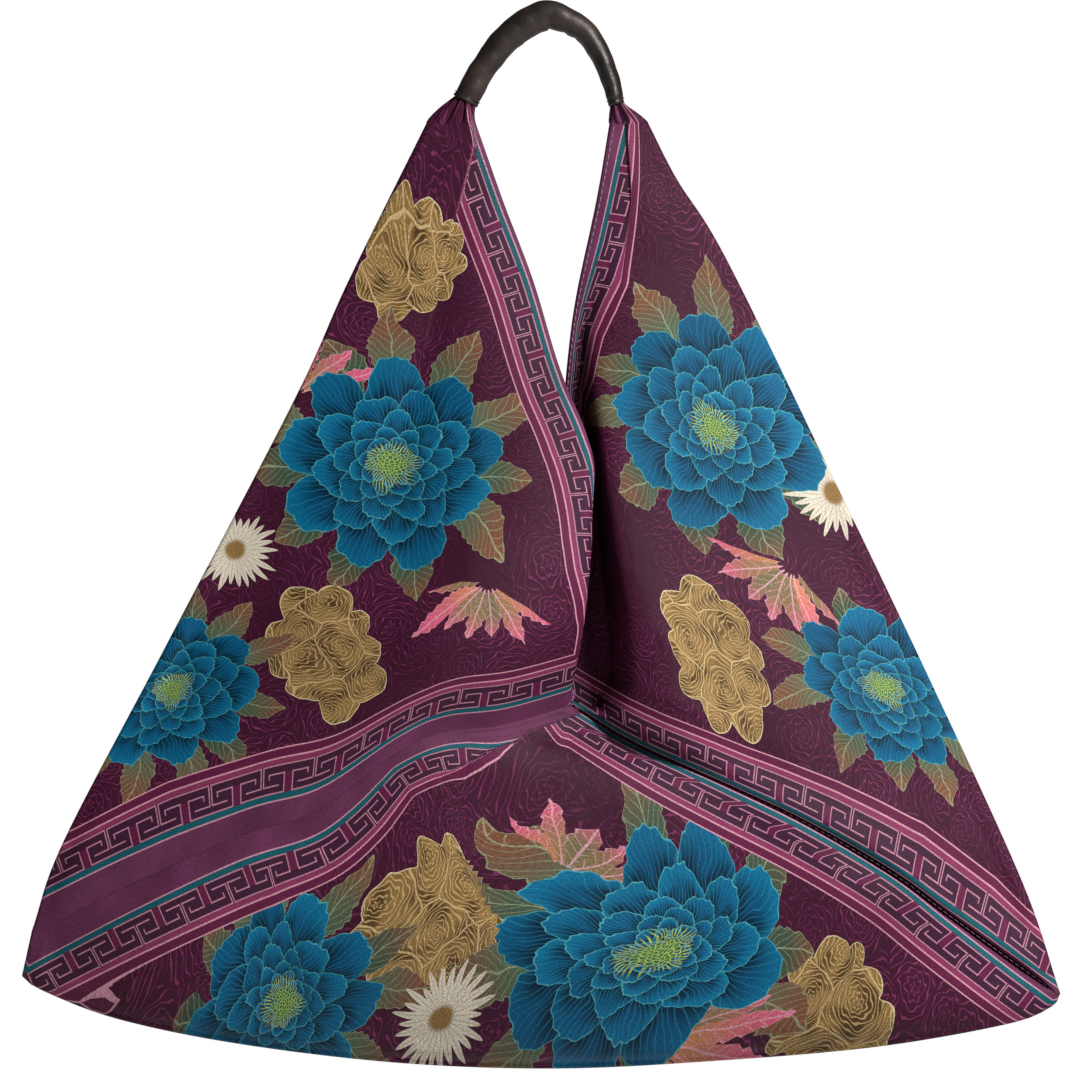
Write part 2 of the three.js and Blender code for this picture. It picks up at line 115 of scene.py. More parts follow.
RIGHT_SEAM_SHAPE = [
    (0.135, 0, 0.49), (0.312, 0.02, 0.79), (0.465, 0.034, 0.86), (0.639, 0.035, 0.67),
    (0.763, 0.022, 0.47), (0.888, 0.01, 0.22),
]
BOTTOM_SHAPE = [
    (0.02, -0.013, 0), (0.092, -0.039, 0), (0.208, -0.061, 0), (0.363, -0.077, 0),
    (0.517, -0.08, 0), (0.671, -0.07, 0), (0.825, -0.054, 0), (0.95, -0.03, 0), (0.991, -0.013, 0),
]
TIP_FULLNESS = 0.035
NOTCH_FULLNESS = 0.19
BELLY_FULLNESS = 1.5
LOBE_FOLLOW = 3
LOBE_SWELL = 1.6
BASE_FOLLOW = 2
LAP_START = 0.93  # row below which the lobes lie one over the other at the notch
LAP_WIDTH = 30

STACK = CLOTH + LAYER_GAP + LINING
FOLD_RADIUS = STACK + FOLD_SLACK
BORE_RADIUS = SLEEVE_RADIUS - SLEEVE_WALL
NOTCH_LAP = STACK + 2 * THREAD_RADIUS + 3 * LAYER_GAP
FRONT = np.array([0.0, -1.0, 0.0])
BACK = -FRONT


def new_object(name, data):
    """A new object at the origin, linked to the scene."""
    obj = bpy.data.objects.new(name, data)
    bpy.context.scene.collection.objects.link(obj)
    return obj


def place(x, z, depth=0.0):
    """A place at a depth in front of the bag's middle plane."""
    return np.array([x, -depth, z], float)


def aside_of(way):
    """The direction square to another one in the plane of the bag."""
    return np.stack([-way[..., 2], np.zeros_like(way[..., 0]), way[..., 0]], -1)


def unit(vectors):
    return vectors / np.maximum(np.linalg.norm(vectors, axis=-1, keepdims=True), 1e-9)


def smooth(share):
    """A share eased in and out, and kept from 0 to 1."""
    share = np.clip(share, 0, 1)
    return share * share * (3 - 2 * share)


def fullness(share):
    """Depth of the front for a share of the bag's fullness."""
    return FOLD_RADIUS + share * (BAG_DEPTH / 2 - FOLD_RADIUS)


def smooth_line(points):
    """A smooth line through points, as a function of the share of its length."""
    points = np.array(points, float)
    ends = 2 * points[0] - points[1], 2 * points[-1] - points[-2]
    knots = np.vstack([ends[0], points, ends[1]])
    spans = len(points) - 1

    def at(t):
        s = np.clip(t, 0, 1) * spans
        k = np.minimum(s.astype(int), spans - 1)
        w = (s - k)[..., None]
        p0, p1, p2, p3 = knots[k], knots[k + 1], knots[k + 2], knots[k + 3]
        m1, m2 = (p2 - p0) / 2, (p3 - p1) / 2
        return (
            p1 + m1 * w + (3 * (p2 - p1) - 2 * m1 - m2) * w**2 + (2 * (p1 - p2) + m1 + m2) * w**3
        )

    t = np.linspace(0, 1, 401)
    run = np.concatenate([[0], np.cumsum(np.linalg.norm(np.diff(at(t), axis=0), axis=1))])

    def along(share):
        return at(np.interp(np.asarray(share, float) * run[-1], run, t))

    along.length = run[-1]
    return along


def bent_line(start, end, shape, flat=False):
    """A smooth line between two places, bent as its shape says."""
    way = (end - start) * [1, 0, 1]
    aside = aside_of(way)
    middle = []
    for share, off, full in shape:
        point = start + way * share + aside * off
        middle.append(place(point[0], point[2], 0 if flat else fullness(full)))
    return smooth_line([start, *middle, end])


# The handle line, and the places that everything hangs from
handle_line = smooth_line([
    place(x * HANDLE_SPREAD, SLEEVE_RADIUS + SLEEVE_SWELL + z * HANDLE_RISE)
    for x, z in HANDLE_SHAPE
])


# Share of its round width that the handle shows from the front, along its line: its ends are
# pressed oval for sewing, the right one so that it is narrow in front
WIDENING_SHARES = [0, 0.15, 0.48, 0.6, 0.75, 0.9, 1]
WIDENING = [1.1, 1, 1, 0.85, 0.79, 0.75, 0.67]


def handle_widening(shares):
    """How wide and how deep the pressed handle is at shares of its line, against a round one."""
    wide = np.interp(shares, WIDENING_SHARES, WIDENING)
    return wide, 1.5 - wide / 2


def handle_frames(shares):
    """Centre, outward direction, swell and tangent of the handle at shares of its line."""
    shares = np.asarray(shares, float)
    step = 1e-3
    after, before = np.minimum(shares + step, 1), np.maximum(shares - step, 0)
    tangent = unit(handle_line(after) - handle_line(before))
    swell = SLEEVE_SWELL * np.sin(np.pi * shares) ** 2
    return handle_line(shares), aside_of(tangent), swell, tangent


end_centres, end_outs, _, end_tangents = handle_frames([0.0, 1.0])
end_rises = end_centres[:, 2] - SLEEVE_RADIUS * np.abs(end_outs[:, 2])
HINGE_HEIGHT = end_rises.min() - END_DROOP
TIP_HEIGHT = HINGE_HEIGHT - SLEEVE_RADIUS - RUN_CLEARANCE
TIP_DEPTH = fullness(TIP_FULLNESS)

left_tip = place(end_centres[0][0] + BORE_RADIUS, TIP_HEIGHT, TIP_DEPTH)
right_tip = place(end_centres[1][0] - SLEEVE_RADIUS / 2, TIP_HEIGHT, TIP_DEPTH)
left_shoulder = place(left_tip[0] - LEFT_TIP_WIDTH, TIP_HEIGHT)
right_shoulder = place(right_tip[0] + RIGHT_TIP_WIDTH, TIP_HEIGHT)
notch = place(NOTCH_SHIFT, NOTCH_RISE - BAG_HEIGHT, fullness(NOTCH_FULLNESS))
left_corner = place(CORNER_LEAN - BAG_WIDTH / 2, LEFT_CORNER_RISE - BAG_HEIGHT)
right_corner = place(BAG_WIDTH / 2, RIGHT_CORNER_RISE - BAG_HEIGHT)
left_heel = place(left_corner[0] - CORNER_LEAN, left_corner[2] - CORNER_SIDE)

left_side = bent_line(left_shoulder, left_corner, LEFT_SIDE_SHAPE, flat=True)
right_side = bent_line(right_shoulder, right_corner, RIGHT_SIDE_SHAPE, flat=True)
bottom_fold = bent_line(left_heel, right_corner, BOTTOM_SHAPE, flat=True)
HEEL_SHARE = 1 / 14  # share of the base square's fold that the blunt left corner takes


def bottom_line(share):
    """The bottom fold from the left corner round its blunt side to the right corner."""
    share = np.asarray(share, float)
    side = np.clip(share / HEEL_SHARE, 0, 1)[..., None]
    rest = bottom_fold(np.clip((share - HEEL_SHARE) / (1 - HEEL_SHARE), 0, 1))
    return np.where(side < 1, left_corner + (left_heel - left_corner) * side, rest)


def outward_of(line, share, before=None, after=None):
    """The outward direction of the folded outline at shares of one of its lines."""
    reach = 0.02
    low = line(np.maximum(share - reach, 0))
    high = line(np.minimum(share + reach, 1))
    if after is not None:
        past = np.clip((share + reach - 1) / reach, 0, 1)[..., None]
        high = high + past * (after - line(np.ones_like(share)))
    if before is not None:
        past = np.clip((reach - share) / reach, 0, 1)[..., None]
        low = low + past * (before - line(np.zeros_like(share)))
    return unit(aside_of(low - high))


def left_fold(share):
    share = np.asarray(share, float)
    out = outward_of(left_side, share, after=bottom_line(0.02))
    return left_side(share) - out * FOLD_RADIUS, out


def right_fold(share):
    share = np.asarray(share, float)
    out = -outward_of(right_side, share, after=bottom_line(0.98))
    return right_side(share) - out * FOLD_RADIUS, out


def base_fold(share):
    share = np.asarray(share, float)
    out = outward_of(bottom_line, share, before=left_side(0.98), after=right_side(0.98))
    return bottom_line(share) - out * FOLD_RADIUS, out


left_mouth = bent_line(left_tip, notch, LEFT_MOUTH_SHAPE)
right_mouth = bent_line(right_tip, notch, RIGHT_MOUTH_SHAPE)
left_seam = bent_line(notch, left_fold(1.0)[0] + FRONT * FOLD_RADIUS, LEFT_SEAM_SHAPE)
right_seam = bent_line(notch, right_fold(1.0)[0] + FRONT * FOLD_RADIUS, RIGHT_SEAM_SHAPE)


def bow(line, share, flatness):
    """How far a line stands off the straight way between its ends."""
    ends = line([0.0, 1.0])
    straight = ends[0] + (ends[1] - ends[0]) * share[..., None]
    return (line(share) - straight) * flatness


def mouth_share(tau):
    """How far down the mouth a row of a lobe starts."""
    return (tau - FIRST_ROW) / (1 - FIRST_ROW)


def lobe_face(mouth, seam, fold, lap):
    """Front face of a lobe as a function of its row and of the share across from the mouth."""

    def at(down, across):
        share = np.clip(mouth_share(down), 0, 1)
        start = mouth(share)
        end = fold(share)[0] + FRONT * FOLD_RADIUS
        flat = down**LOBE_FOLLOW
        follow = np.stack([flat, down**LOBE_SWELL, flat], -1)
        point = start + (end - start) * across[..., None] + bow(seam, across, follow)
        near = smooth((down - LAP_START) / (1 - LAP_START))
        near = near * (1 - smooth(across * down * SQUARE / LAP_WIDTH))
        point[..., 1] -= lap * near
        return point

    return at


def base_face(down, across):
    """Front face of the base square, from the notch down to the bottom fold."""
    start, end = left_seam(down), right_seam(down)
    fold = base_fold(across)[0]
    ends = base_fold(np.array([0.0, 1.0]))[0]
    sag = fold - (ends[0] + (ends[1] - ends[0]) * across[..., None])
    point = start + (end - start) * across[..., None] + sag * (down**BASE_FOLLOW)[..., None]
    swell = BAG_DEPTH / 2 * BELLY_FULLNESS * down**2 * np.sqrt(np.maximum(1 - down, 0))
    point[..., 1] -= swell * 4 * across * (1 - across)
    return point


left_face = lobe_face(left_mouth, left_seam, left_fold, NOTCH_LAP / 2)
right_face = lobe_face(right_mouth, right_seam, right_fold, -NOTCH_LAP / 2)


# Grids of cloth

FACE_COLUMNS = 128
LOBE_ROWS = 104
BASE_COLUMNS = 84
FOLD_STEPS = 8
HEM_STEPS = 7
GATHER_ROWS = 18
GATHER_TURN = 0.93  # share of the way round that a gathered tip closes
GATHER_CLOSED = 0.55  # share of its rows below the place where it fits the sleeve
GATHER_CLOTH = 9  # cloth of the gathered rows along each side of the square
LEFT_STITCH_SETBACK = 4.3
RIGHT_STITCH_SETBACK = 3.0
STITCH_COLUMN = 2  # column of a lobe's face that its topstitching follows
FOLD_ANGLES = np.linspace(0, np.pi, FOLD_STEPS + 1)[1:-1]
TURN_CLOTH = np.pi / 2 * FOLD_RADIUS / math.sqrt(2)  # of half a fold, along each side of a square
OTHER_SIDE = np.array([-1, 1, 1])  # turns the front's soft folds round for the back
BACK_SHIFT = np.array([37, 0, 11])


def round_fold(centre, out, angle):
    """Places on the bend of a fold: an angle of 0 is its front and one of pi its back."""
    return centre + (FRONT * math.cos(angle) + out * math.sin(angle)) * FOLD_RADIUS


def face_columns(tau, setback):
    """Cloth distances from the mouth edge of a lobe's columns, one row for each share down."""
    t = np.linspace(0, 1, FACE_COLUMNS - STITCH_COLUMN)
    spread = 0.45 * t + 0.55 * t**2
    width = SQUARE * tau
    near = np.array([HEM_ROLL, (HEM_ROLL + setback) / 2]) + 0 * tau
    return np.hstack([near, setback + (width - setback) * spread])


def lobe_rows():
    plain = np.linspace(FIRST_ROW, 1 - 13 / SQUARE, LOBE_ROWS)
    lip = 1 - np.array([10, 7.6, 5.6, 4, 2.8, 1.8, 1, 0.4, 0]) / SQUARE
    return np.concatenate([plain, lip])[:, None]


def lip_size(share):
    """Radius of the edges that roll into a seam, from the notch to the corner."""
    return np.interp(share, [0, 0.35, 0.6, 0.93, 1], [SEAM_LIP, SEAM_LIP, 8.5, 8.5, SEAM_LIP])


def lip_drop(distance, size):
    """How deep a cloth edge has rolled in at a distance from its seam."""
    near = np.clip(size - distance, 0, size)
    return size - np.sqrt(size**2 - near**2)


def drape(point):
    """Soft folds of the hanging cloth, as a depth added to the front at a place."""
    x, z = point[..., 0], point[..., 2]
    low = smooth((-z - 120) / 350)
    across = 2.4 * np.sin(x / 41 + z / 130 + 0.6) + 1.5 * np.sin(x / 23 - z / 61 + 2.1)
    along = 1.8 * np.sin(z / 33 + x / 150 + 1.4) + 0.9 * np.sin(z / 17 - x / 77)
    return low * (across + along)


def rolled(face, side, tau, c, rho, turn, bend):
    """A lobe's face whose mouth edge is rolled in, with rho of its cloth past the bend."""
    width = SQUARE * tau
    theta = turn * smooth(rho / CURL_START)
    reach = bend * np.sin(np.minimum(theta, np.pi / 2))
    start = (rho + reach) + 0 * c
    at_start = reach / (width - rho) + 0 * c
    tau = tau + 0 * c
    base = face(tau, at_start)
    into = unit(face(tau, at_start + 0.01) - base)
    down = unit(face(tau + 0.004, at_start) - face(tau - 0.004, at_start))
    out = unit(np.cross(into, down)) * side
    run = np.clip(start - c, 0, None)
    arc = np.minimum(run, bend * theta)
    angle = (arc / bend)[..., None]
    tail = (run - arc)[..., None]
    turned = (theta + 0 * c)[..., None]
    point = (
        base
        - into * (bend * np.sin(angle) + tail * np.cos(turned))
        - out * (bend * (1 - np.cos(angle)) + tail * np.sin(turned))
    )
    flat = face(tau, np.maximum((c - rho) / (width - rho), 0))
    return np.where((run > 0)[..., None], point, flat)


# Width of the left lobe's front edge that has curled inwards, down the mouth
CURL_SHARES = [0, 0.46, 0.55, 0.62, 0.7, 0.75, 0.81, 0.86, 0.9, 0.94, 0.97, 1]
CURL_WIDTHS = [0, 0, 3, 8, 13, 18, 28, 34, 31, 21, 12, 0]
CURL_TURN = math.radians(104)  # how far the edge has turned
CURL_BEND = 7.0  # radius of its bend
CURL_START = 15  # width at which the edge has made its whole turn


def left_curl(tau):
    return np.interp(mouth_share(tau), CURL_SHARES, CURL_WIDTHS)


# Tuck of each lobe below its tip, down the mouth: how far from the edge, and what it hides
LEFT_TUCK_SHARES = [0, 0.034, 0.1, 0.165, 0.235, 0.3, 0.355, 0.42, 0.54]
LEFT_TUCK_PLACES = [3, 5, 25, 46, 67, 85, 98, 114, 150]
LEFT_HIDDEN = [31, 29, 14, 3, 0, 0, 0, 0, 0]
RIGHT_TUCK_SHARES = [0, 0.014, 0.065, 0.115, 0.17, 0.2, 0.3]
RIGHT_TUCK_PLACES = [11, 12.5, 20, 27, 31, 33, 40]
RIGHT_HIDDEN = [18, 17, 13, 10, 6, 4, 0]


def hidden_cloth(side, tau):
    """Cloth that a lobe's tuck takes up at a row."""
    share = mouth_share(tau)
    if side > 0:
        return np.interp(share, LEFT_TUCK_SHARES, LEFT_HIDDEN)
    return np.interp(share, RIGHT_TUCK_SHARES, RIGHT_HIDDEN)


def tuck(side, tau, c):
    """Overlap below a lobe's tip: height of the side cloth over the border, and cloth hidden."""
    share = mouth_share(tau)
    hidden = hidden_cloth(side, tau)
    if side > 0:
        where = np.interp(share, LEFT_TUCK_SHARES, LEFT_TUCK_PLACES)
        amount = np.interp(share, [0, 0.1, 0.25, 0.42], [1, 0.8, 0.25, 0])
        valley = 2.4 * np.sin(np.pi * np.clip(share / 0.72, 0, 1))
    else:
        where = np.interp(share, RIGHT_TUCK_SHARES, RIGHT_TUCK_PLACES)
        amount = np.interp(share, [0, 0.1, 0.2, 0.32], [0.9, 0.7, 0.25, 0])
        valley = 0.0
    step = smooth((c - where) / 1.6 + 0.5)
    height = 2.8 * amount * step * np.exp(-np.maximum(c - where, 0) / 24)
    dip = valley * np.exp(-(((c - where) / 17) ** 2))
    return height - dip, hidden * step


# The right lobe's border sinks behind the left lobe's edge. Down the mouth: the width of the
# floor and its cloth, where the wall starts to rise, where it ends and its cloth, how deep the
# floor lies, and how high the cloth beside the wall stands
SINK_SHARES = [0, 0.2, 0.25, 0.35, 0.425, 0.475, 0.6, 0.7, 0.8, 0.9, 0.97, 0.985, 1]
SINK_FLOOR = [8, 19, 16, 7.4, 9, 12, 12.5, 13, 9.5, 5, 2, 2, 1.5]
SINK_FLOOR_CLOTH = [8, 26, 26, 26, 30, 40, 46, 46, 48, 50, 50, 50, 50]
SINK_RISE_START = [8, 19, 16, 7.4, 10, 13, 24, 30, 35, 37, 24, 12, 1.5]
SINK_WALL = [16, 34.6, 34.5, 26, 25, 28, 34, 42, 54, 55, 45, 41, 38]
SINK_WALL_CLOTH = [16, 42, 42, 48, 53, 71, 92, 98, 105, 102, 95, 90, 85]
SINK_LOW = [0, 0, 1, 5, 7, 8, 10, 10, 10, 9, 7, 5, 0]
SINK_RIDGE = [0, 0, 2, 6, 10, 16, 23, 26, 27, 25, 19, 12, 0]
SINK_TABLES = (
    SINK_FLOOR, SINK_FLOOR_CLOTH, SINK_RISE_START, SINK_WALL, SINK_WALL_CLOTH, SINK_LOW, SINK_RIDGE,
)
RIDGE_PLACE = 6  # distance of the ridge from the end of the wall
RIDGE_FADE = 85  # width in which the ridge runs out


def sunken_right(tau, c):
    """Front of the right lobe, whose border lies in the recess behind the left lobe's edge."""
    share = mouth_share(tau)
    tau = tau + 0 * c
    floor, floor_cloth, start, wall, wall_cloth, low, ridge = (
        np.interp(share, SINK_SHARES, values) for values in SINK_TABLES
    )
    ends = right_face(tau[:, :2], np.tile([0.0, 1.0], (len(tau), 1)))
    width = np.linalg.norm(ends[:, 1] - ends[:, 0], axis=-1)[:, None]
    near = c * floor / floor_cloth
    middle = floor + (c - floor_cloth) * (wall - floor) / (wall_cloth - floor_cloth)
    far = wall + (c - wall_cloth) * (width - wall) / np.maximum(SQUARE * tau - wall_cloth, 1)
    reach = np.where(c < floor_cloth, near, np.where(c < wall_cloth, middle, far))
    front = right_face(tau, reach / width)
    crest = wall + RIDGE_PLACE
    rise = 1 - np.clip((crest - reach) / (crest - start), 0, 1) ** 3
    depth = ridge * rise * (1 - smooth((reach - crest) / RIDGE_FADE)) - low * (1 - rise)
    front[..., 1] -= depth
    return front


# Crease of the base square below its border: along it, its place and the cloth that it hides
CREASE_PLACES = ([0, 50, 73, 105, 125, 160], [11, 13, 26, 31.5, 31, 30])
CREASE_HIDDEN = ([0, 16, 50, 62, 73, 88, 105, 125, 142], [0, 38, 37, 33, 31, 26, 18, 5, 0])


def base_crease(x, y):
    """The crease's height at cloth places of the base square, and how much cloth it hides."""
    where = np.interp(y, *CREASE_PLACES)
    hidden = np.interp(y, *CREASE_HIDDEN)
    amount = hidden / max(CREASE_HIDDEN[1])
    lip = amount * (2.5 - 6.0 * (1 - smooth((x - where) / 2.2)))
    bulge = smooth(x / 10) * np.exp(-np.maximum(x - where - 2, 0) / 12)
    room = np.maximum(np.minimum(SQUARE - y, SQUARE - 10) - where, 1)
    slack = hidden * smooth((x - where) / 2.2) * (1 - np.clip((x - where) / room, 0, 1))
    return lip * bulge, slack


BORDER_REACH = 45  # width of cloth whose print lies square to its edge
MOUTH_BLEND, SEAM_BLEND = 110, 125  # widths in which the print turns back to its own way


def squared_to_mouth(side, tau, c):
    """How far the print moves inwards and down near a mouth edge, so that it is square to it."""
    mouth, fold = (left_mouth, left_fold) if side > 0 else (right_mouth, right_fold)
    share = mouth_share(tau[:, 0])
    edge = unit(mouth(np.minimum(share + 0.01, 1)) - mouth(np.maximum(share - 0.01, 0)))
    row = unit(fold(share)[0] + FRONT * FOLD_RADIUS - mouth(share))
    slant = (edge * row).sum(-1)[:, None]
    width = SQUARE * tau
    amount = c * (1 - smooth((c - BORDER_REACH) / MOUTH_BLEND)) * smooth((width - c) / 40)
    above_seam = smooth((SQUARE - width - 35 - c) / 60)
    return amount * (1 - np.sqrt(1 - slant**2)), amount * slant * above_seam


def seam_places(points, seam):
    """Distance of points from a seam, and how far along it their nearest places are."""
    shares = np.linspace(0, 1, 500)
    line = seam(shares)
    way = unit(np.gradient(line, axis=0))
    step = points[..., None, :] - line
    k = np.linalg.norm(step, axis=-1).argmin(-1)
    offset = points - line[k]
    past = (offset * way[k]).sum(-1)
    away = np.sqrt(np.maximum((offset**2).sum(-1) - past**2, 0))
    return away, SQUARE * (shares[k] + past / seam.length)


# Cloth that lies slanting beside the front seams looks narrower than it is. Down the base's
# left seam: where its teal stripe and the inner line of its border are seen
STRIPE_CLOTH, INNER_CLOTH = 14, 46.6  # where the two lie on the flat cloth
SLANT_PLACES = [0, 49, 75, 95, 128, 165, 200, 240, 290, 350, 490]
SLANT_STRIPE = [14, 14, 12, 8.8, 8.1, 6.8, 11, 14, 15.5, 15, 14]
SLANT_INNER = [46, 46, 46, 38, 33, 30, 38.5, 45, 51, 50, 47]
# Along the foot of each lobe, whose border looks wider: cloth distance against what is seen
LEFT_FOOT = ([0, 150, 196, 245, 333, 358, 453, 490], [1, 1, 0.91, 0.87, 0.8, 0.79, 0.92, 0.95])
RIGHT_FOOT = ([0, 127, 196, 270, 348, 416, 475, 490], [1, 1, 0.92, 0.74, 0.64, 0.75, 1, 1])


def slanting_left(away, down):
    """Cloth distance from the base's left seam, for cloth that lies slanting beside it."""
    stripe = np.interp(down, SLANT_PLACES, SLANT_STRIPE)
    inner = np.interp(down, SLANT_PLACES, SLANT_INNER)
    margin = away * STRIPE_CLOTH / stripe
    across = STRIPE_CLOTH + (away - stripe) * (INNER_CLOTH - STRIPE_CLOTH) / (inner - stripe)
    near = np.where(away < stripe, margin, np.minimum(across, INNER_CLOTH))
    return near + np.maximum(away - inner, 0)


def squared_to_seams(points, tau, x, y):
    """Cloth places of the base square, with its print square to both of its front seams."""
    from_left, down_left = seam_places(points, left_seam)
    from_right, down_right = seam_places(points, right_seam)
    by_left_slant = slanting_left(from_left, down_left)
    by_left = 1 - smooth((from_left - BORDER_REACH) / SEAM_BLEND)
    by_right = 1 - smooth((from_right - BORDER_REACH) / SEAM_BLEND)
    lead = (from_right - from_left) / np.maximum(from_right + from_left, 1)
    nearer_left = smooth(0.5 + lead * 2)
    # Beside the notch each place takes its distances from both seams
    left_y = down_left + (from_right - down_left) * (1 - smooth(2 * nearer_left - 1)) * by_right
    right_x = down_right + (from_left - down_right) * (1 - smooth(1 - 2 * nearer_left)) * by_left
    near_left = by_left * nearer_left
    near_right = by_right * (1 - nearer_left)
    own = 1 - near_left - near_right
    new_x = near_left * by_left_slant + near_right * right_x + own * x
    new_y = near_left * left_y + near_right * from_right + own * y
    missing = (SQUARE * tau - new_x - new_y) / 2 * smooth((tau - 0.8) / 0.2)
    missing = missing * smooth((np.minimum(from_left, from_right) - 48) / 25)
    return new_x + missing, new_y + missing


def grid_normals(points, sign):
    """Unit normals of a grid of points, outwards where the sign is right."""
    across = np.gradient(points, axis=1)
    down = np.gradient(points, axis=0)
    return unit(np.cross(across, down)) * sign


def hem_columns(points, normals):
    """Columns that turn a mouth edge in: round its edge and a little way back underneath."""
    into = unit(points[:, 1] - points[:, 0])
    out = normals[:, 0]
    into = unit(into - out * (into * out).sum(-1, keepdims=True))
    start = points[:, 0]
    columns, reach = [], []
    for k in range(1, HEM_STEPS + 1):
        angle = np.pi * k / HEM_STEPS
        columns.append(
            start - into * HEM_ROLL * np.sin(angle) - out * HEM_ROLL * (1 - np.cos(angle))
        )
        reach.append(HEM_ROLL * (1 - angle))
    for k in (1, 2):
        columns.append(columns[HEM_STEPS - 1] + into * HEM_TURN / 2 * k / 2)
        reach.append(reach[HEM_STEPS - 1] - HEM_TURN / 2 * k / 2)
    return np.stack(columns[::-1], 1), np.array(reach[::-1])


def lobe(side):
    """Outer surface of a folded lobe: points and cloth places, tip row first."""
    left = side > 0
    face = left_face if left else right_face
    fold = left_fold if left else right_fold
    setback = LEFT_STITCH_SETBACK if left else RIGHT_STITCH_SETBACK
    tau = lobe_rows()
    c = face_columns(tau, setback)
    width = SQUARE * tau + 0 * c
    rise = SQUARE * (1 - tau) + 0 * c  # cloth between a row and the seam at its foot
    if left:
        front = rolled(face, side, tau, c, left_curl(tau), CURL_TURN, CURL_BEND)
    else:
        front = sunken_right(tau, c)
    height, hidden = tuck(side, tau, c)
    back = face(tau + 0 * c, c / width)

    soft_foot = smooth(rise / 25)
    soft_edge = smooth(c / 20) * smooth((width - c) / 20)
    front[..., 1] -= (height + drape(front) * soft_edge) * soft_foot
    back_drape = drape(back * OTHER_SIDE + BACK_SHIFT)
    back[..., 1] -= back_drape * soft_edge * soft_foot

    # The foot of one face is sewn, and that of the other one is the strip's own cloth
    sewn = back if left else front
    lip = lip_drop(rise, lip_size(c / width)) * smooth((width - c) / 14)
    if not left:
        puff = np.exp(-(((rise - 13) / 9) ** 2)) * smooth(rise / 6)
        front[..., 1] -= 3 * puff * np.interp(c / width, [0.25, 0.4, 0.95, 1], [0, 1, 1, 0])
    sewn[..., 1] += lip * LIP_INWARDS
    sewn[..., 2] += lip * LIP_ALONG
    back = back * [1, -1, 1]

    centre, out = fold(mouth_share(tau[:, 0]))
    turn = np.stack([round_fold(centre, out, angle) for angle in FOLD_ANGLES], 1)

    rough = np.concatenate([front, turn, back[:, ::-1]], 1)
    normals = grid_normals(rough, side)
    n = c.shape[1]
    front_hem, reach = hem_columns(front, normals[:, :n])
    back_hem, _ = hem_columns(back, normals[:, ::-1][:, :n])
    points = np.concatenate([front_hem, rough, back_hem[:, ::-1]], 1)

    return points, lobe_places(side, tau, c, hidden, reach)


def lobe_places(side, tau, c, hidden, hem_reach):
    """Where the points of a lobe lie on the flat cloth."""
    left = side > 0
    width = SQUARE * tau + 0 * c
    # The rows near the tip lie further down the cloth, by what the tuck takes up
    taken = hidden_cloth(side, tau)
    inwards, down = squared_to_mouth(side, tau, c)
    deep = width + taken + down
    foot_y = SQUARE - deep
    wider = 1 - np.interp(c, *(LEFT_FOOT if left else RIGHT_FOOT))
    foot_y = foot_y * (1 - wider * (1 - smooth((foot_y - 50) / 120)))
    if left:
        # The corner of the print beside the notch is out of sight behind the curled edge
        behind = np.maximum(max(CURL_WIDTHS) - left_curl(tau), 0)
        behind = behind * smooth((mouth_share(tau) - 0.83) / 0.04)
        hidden = hidden + behind * (1 - smooth(c / 260))
    front_uv = np.stack([c + hidden - inwards, foot_y], -1)
    back_uv = np.stack([deep, SQUARE - c - taken * (c / width) ** 0.5 + inwards], -1)
    bend = TURN_CLOTH * smooth((c / width - 0.6) / 0.4)[..., None]
    turned = TURN_CLOTH * (2 * FOLD_ANGLES / np.pi - 1)[None, :, None]
    turn_uv = front_uv[:, -1:] + turned
    front_uv, back_uv = front_uv - bend, back_uv + bend
    hem_x = hem_reach[None, :] + 0 * tau
    hem_deep = SQUARE * tau + taken + 0 * hem_x
    front_hem_uv = np.stack([hem_x, SQUARE - hem_deep], -1)
    back_hem_uv = np.stack([hem_deep, SQUARE - hem_x], -1)
    return np.concatenate(
        [front_hem_uv, front_uv, turn_uv, back_uv[:, ::-1], back_hem_uv[:, ::-1]], 1
    )


def gathered(side, points, uv):
    """Rows above a lobe's tip: its cloth draws together and goes up into the sleeve's end."""
    left = side > 0
    end = 0 if left else 1
    axis_point = end_centres[end]
    outwards = end_tangents[end] * (-1 if left else 1)  # along the handle, out of its end
    away = end_outs[end] * (1 if left else -1)
    away = away if away[0] * side < 0 else -away  # from the handle's line to the bag's side
    tip = points[0]
    run = np.concatenate([[0], np.cumsum(np.linalg.norm(np.diff(tip, axis=0), axis=1))])
    share = run / run[-1]
    angle = np.pi * (2 * share - 1) * GATHER_TURN
    pleats = 0.7 * np.sin(angle * 9 + 0.4 * side) + 0.35 * np.sin(angle * 17 + 1.3)
    wide, deep = handle_widening(float(end))
    around = away * np.cos(angle)[:, None] + BACK * np.sin(angle)[:, None]
    pressed = around * [wide, deep, wide]
    rows, places = [], []
    for k in range(1, GATHER_ROWS + 1):
        s = k / GATHER_ROWS
        close = s / GATHER_CLOSED
        above = np.clip((s - 0.42) / 0.58, 0, 1) * (TUCK - 2) - 1.0
        radius = BORE_RADIUS - 1.3 + pleats * (0.35 + 0.65 * (1 - above / TUCK))
        ring = axis_point - outwards * above + pressed * radius[:, None]
        flare = tip + (ring - tip) * smooth(close)
        puff = math.sin(math.pi * min(close, 1)) * 1.2
        flare = flare + around * puff * (1 + pleats[:, None])
        rows.append(flare)
        places.append(uv[0] + np.array([-GATHER_CLOTH, GATHER_CLOTH]) * s)
    points = np.concatenate([np.stack(rows[::-1]), points])
    return points, np.concatenate([np.stack(places[::-1]), uv])


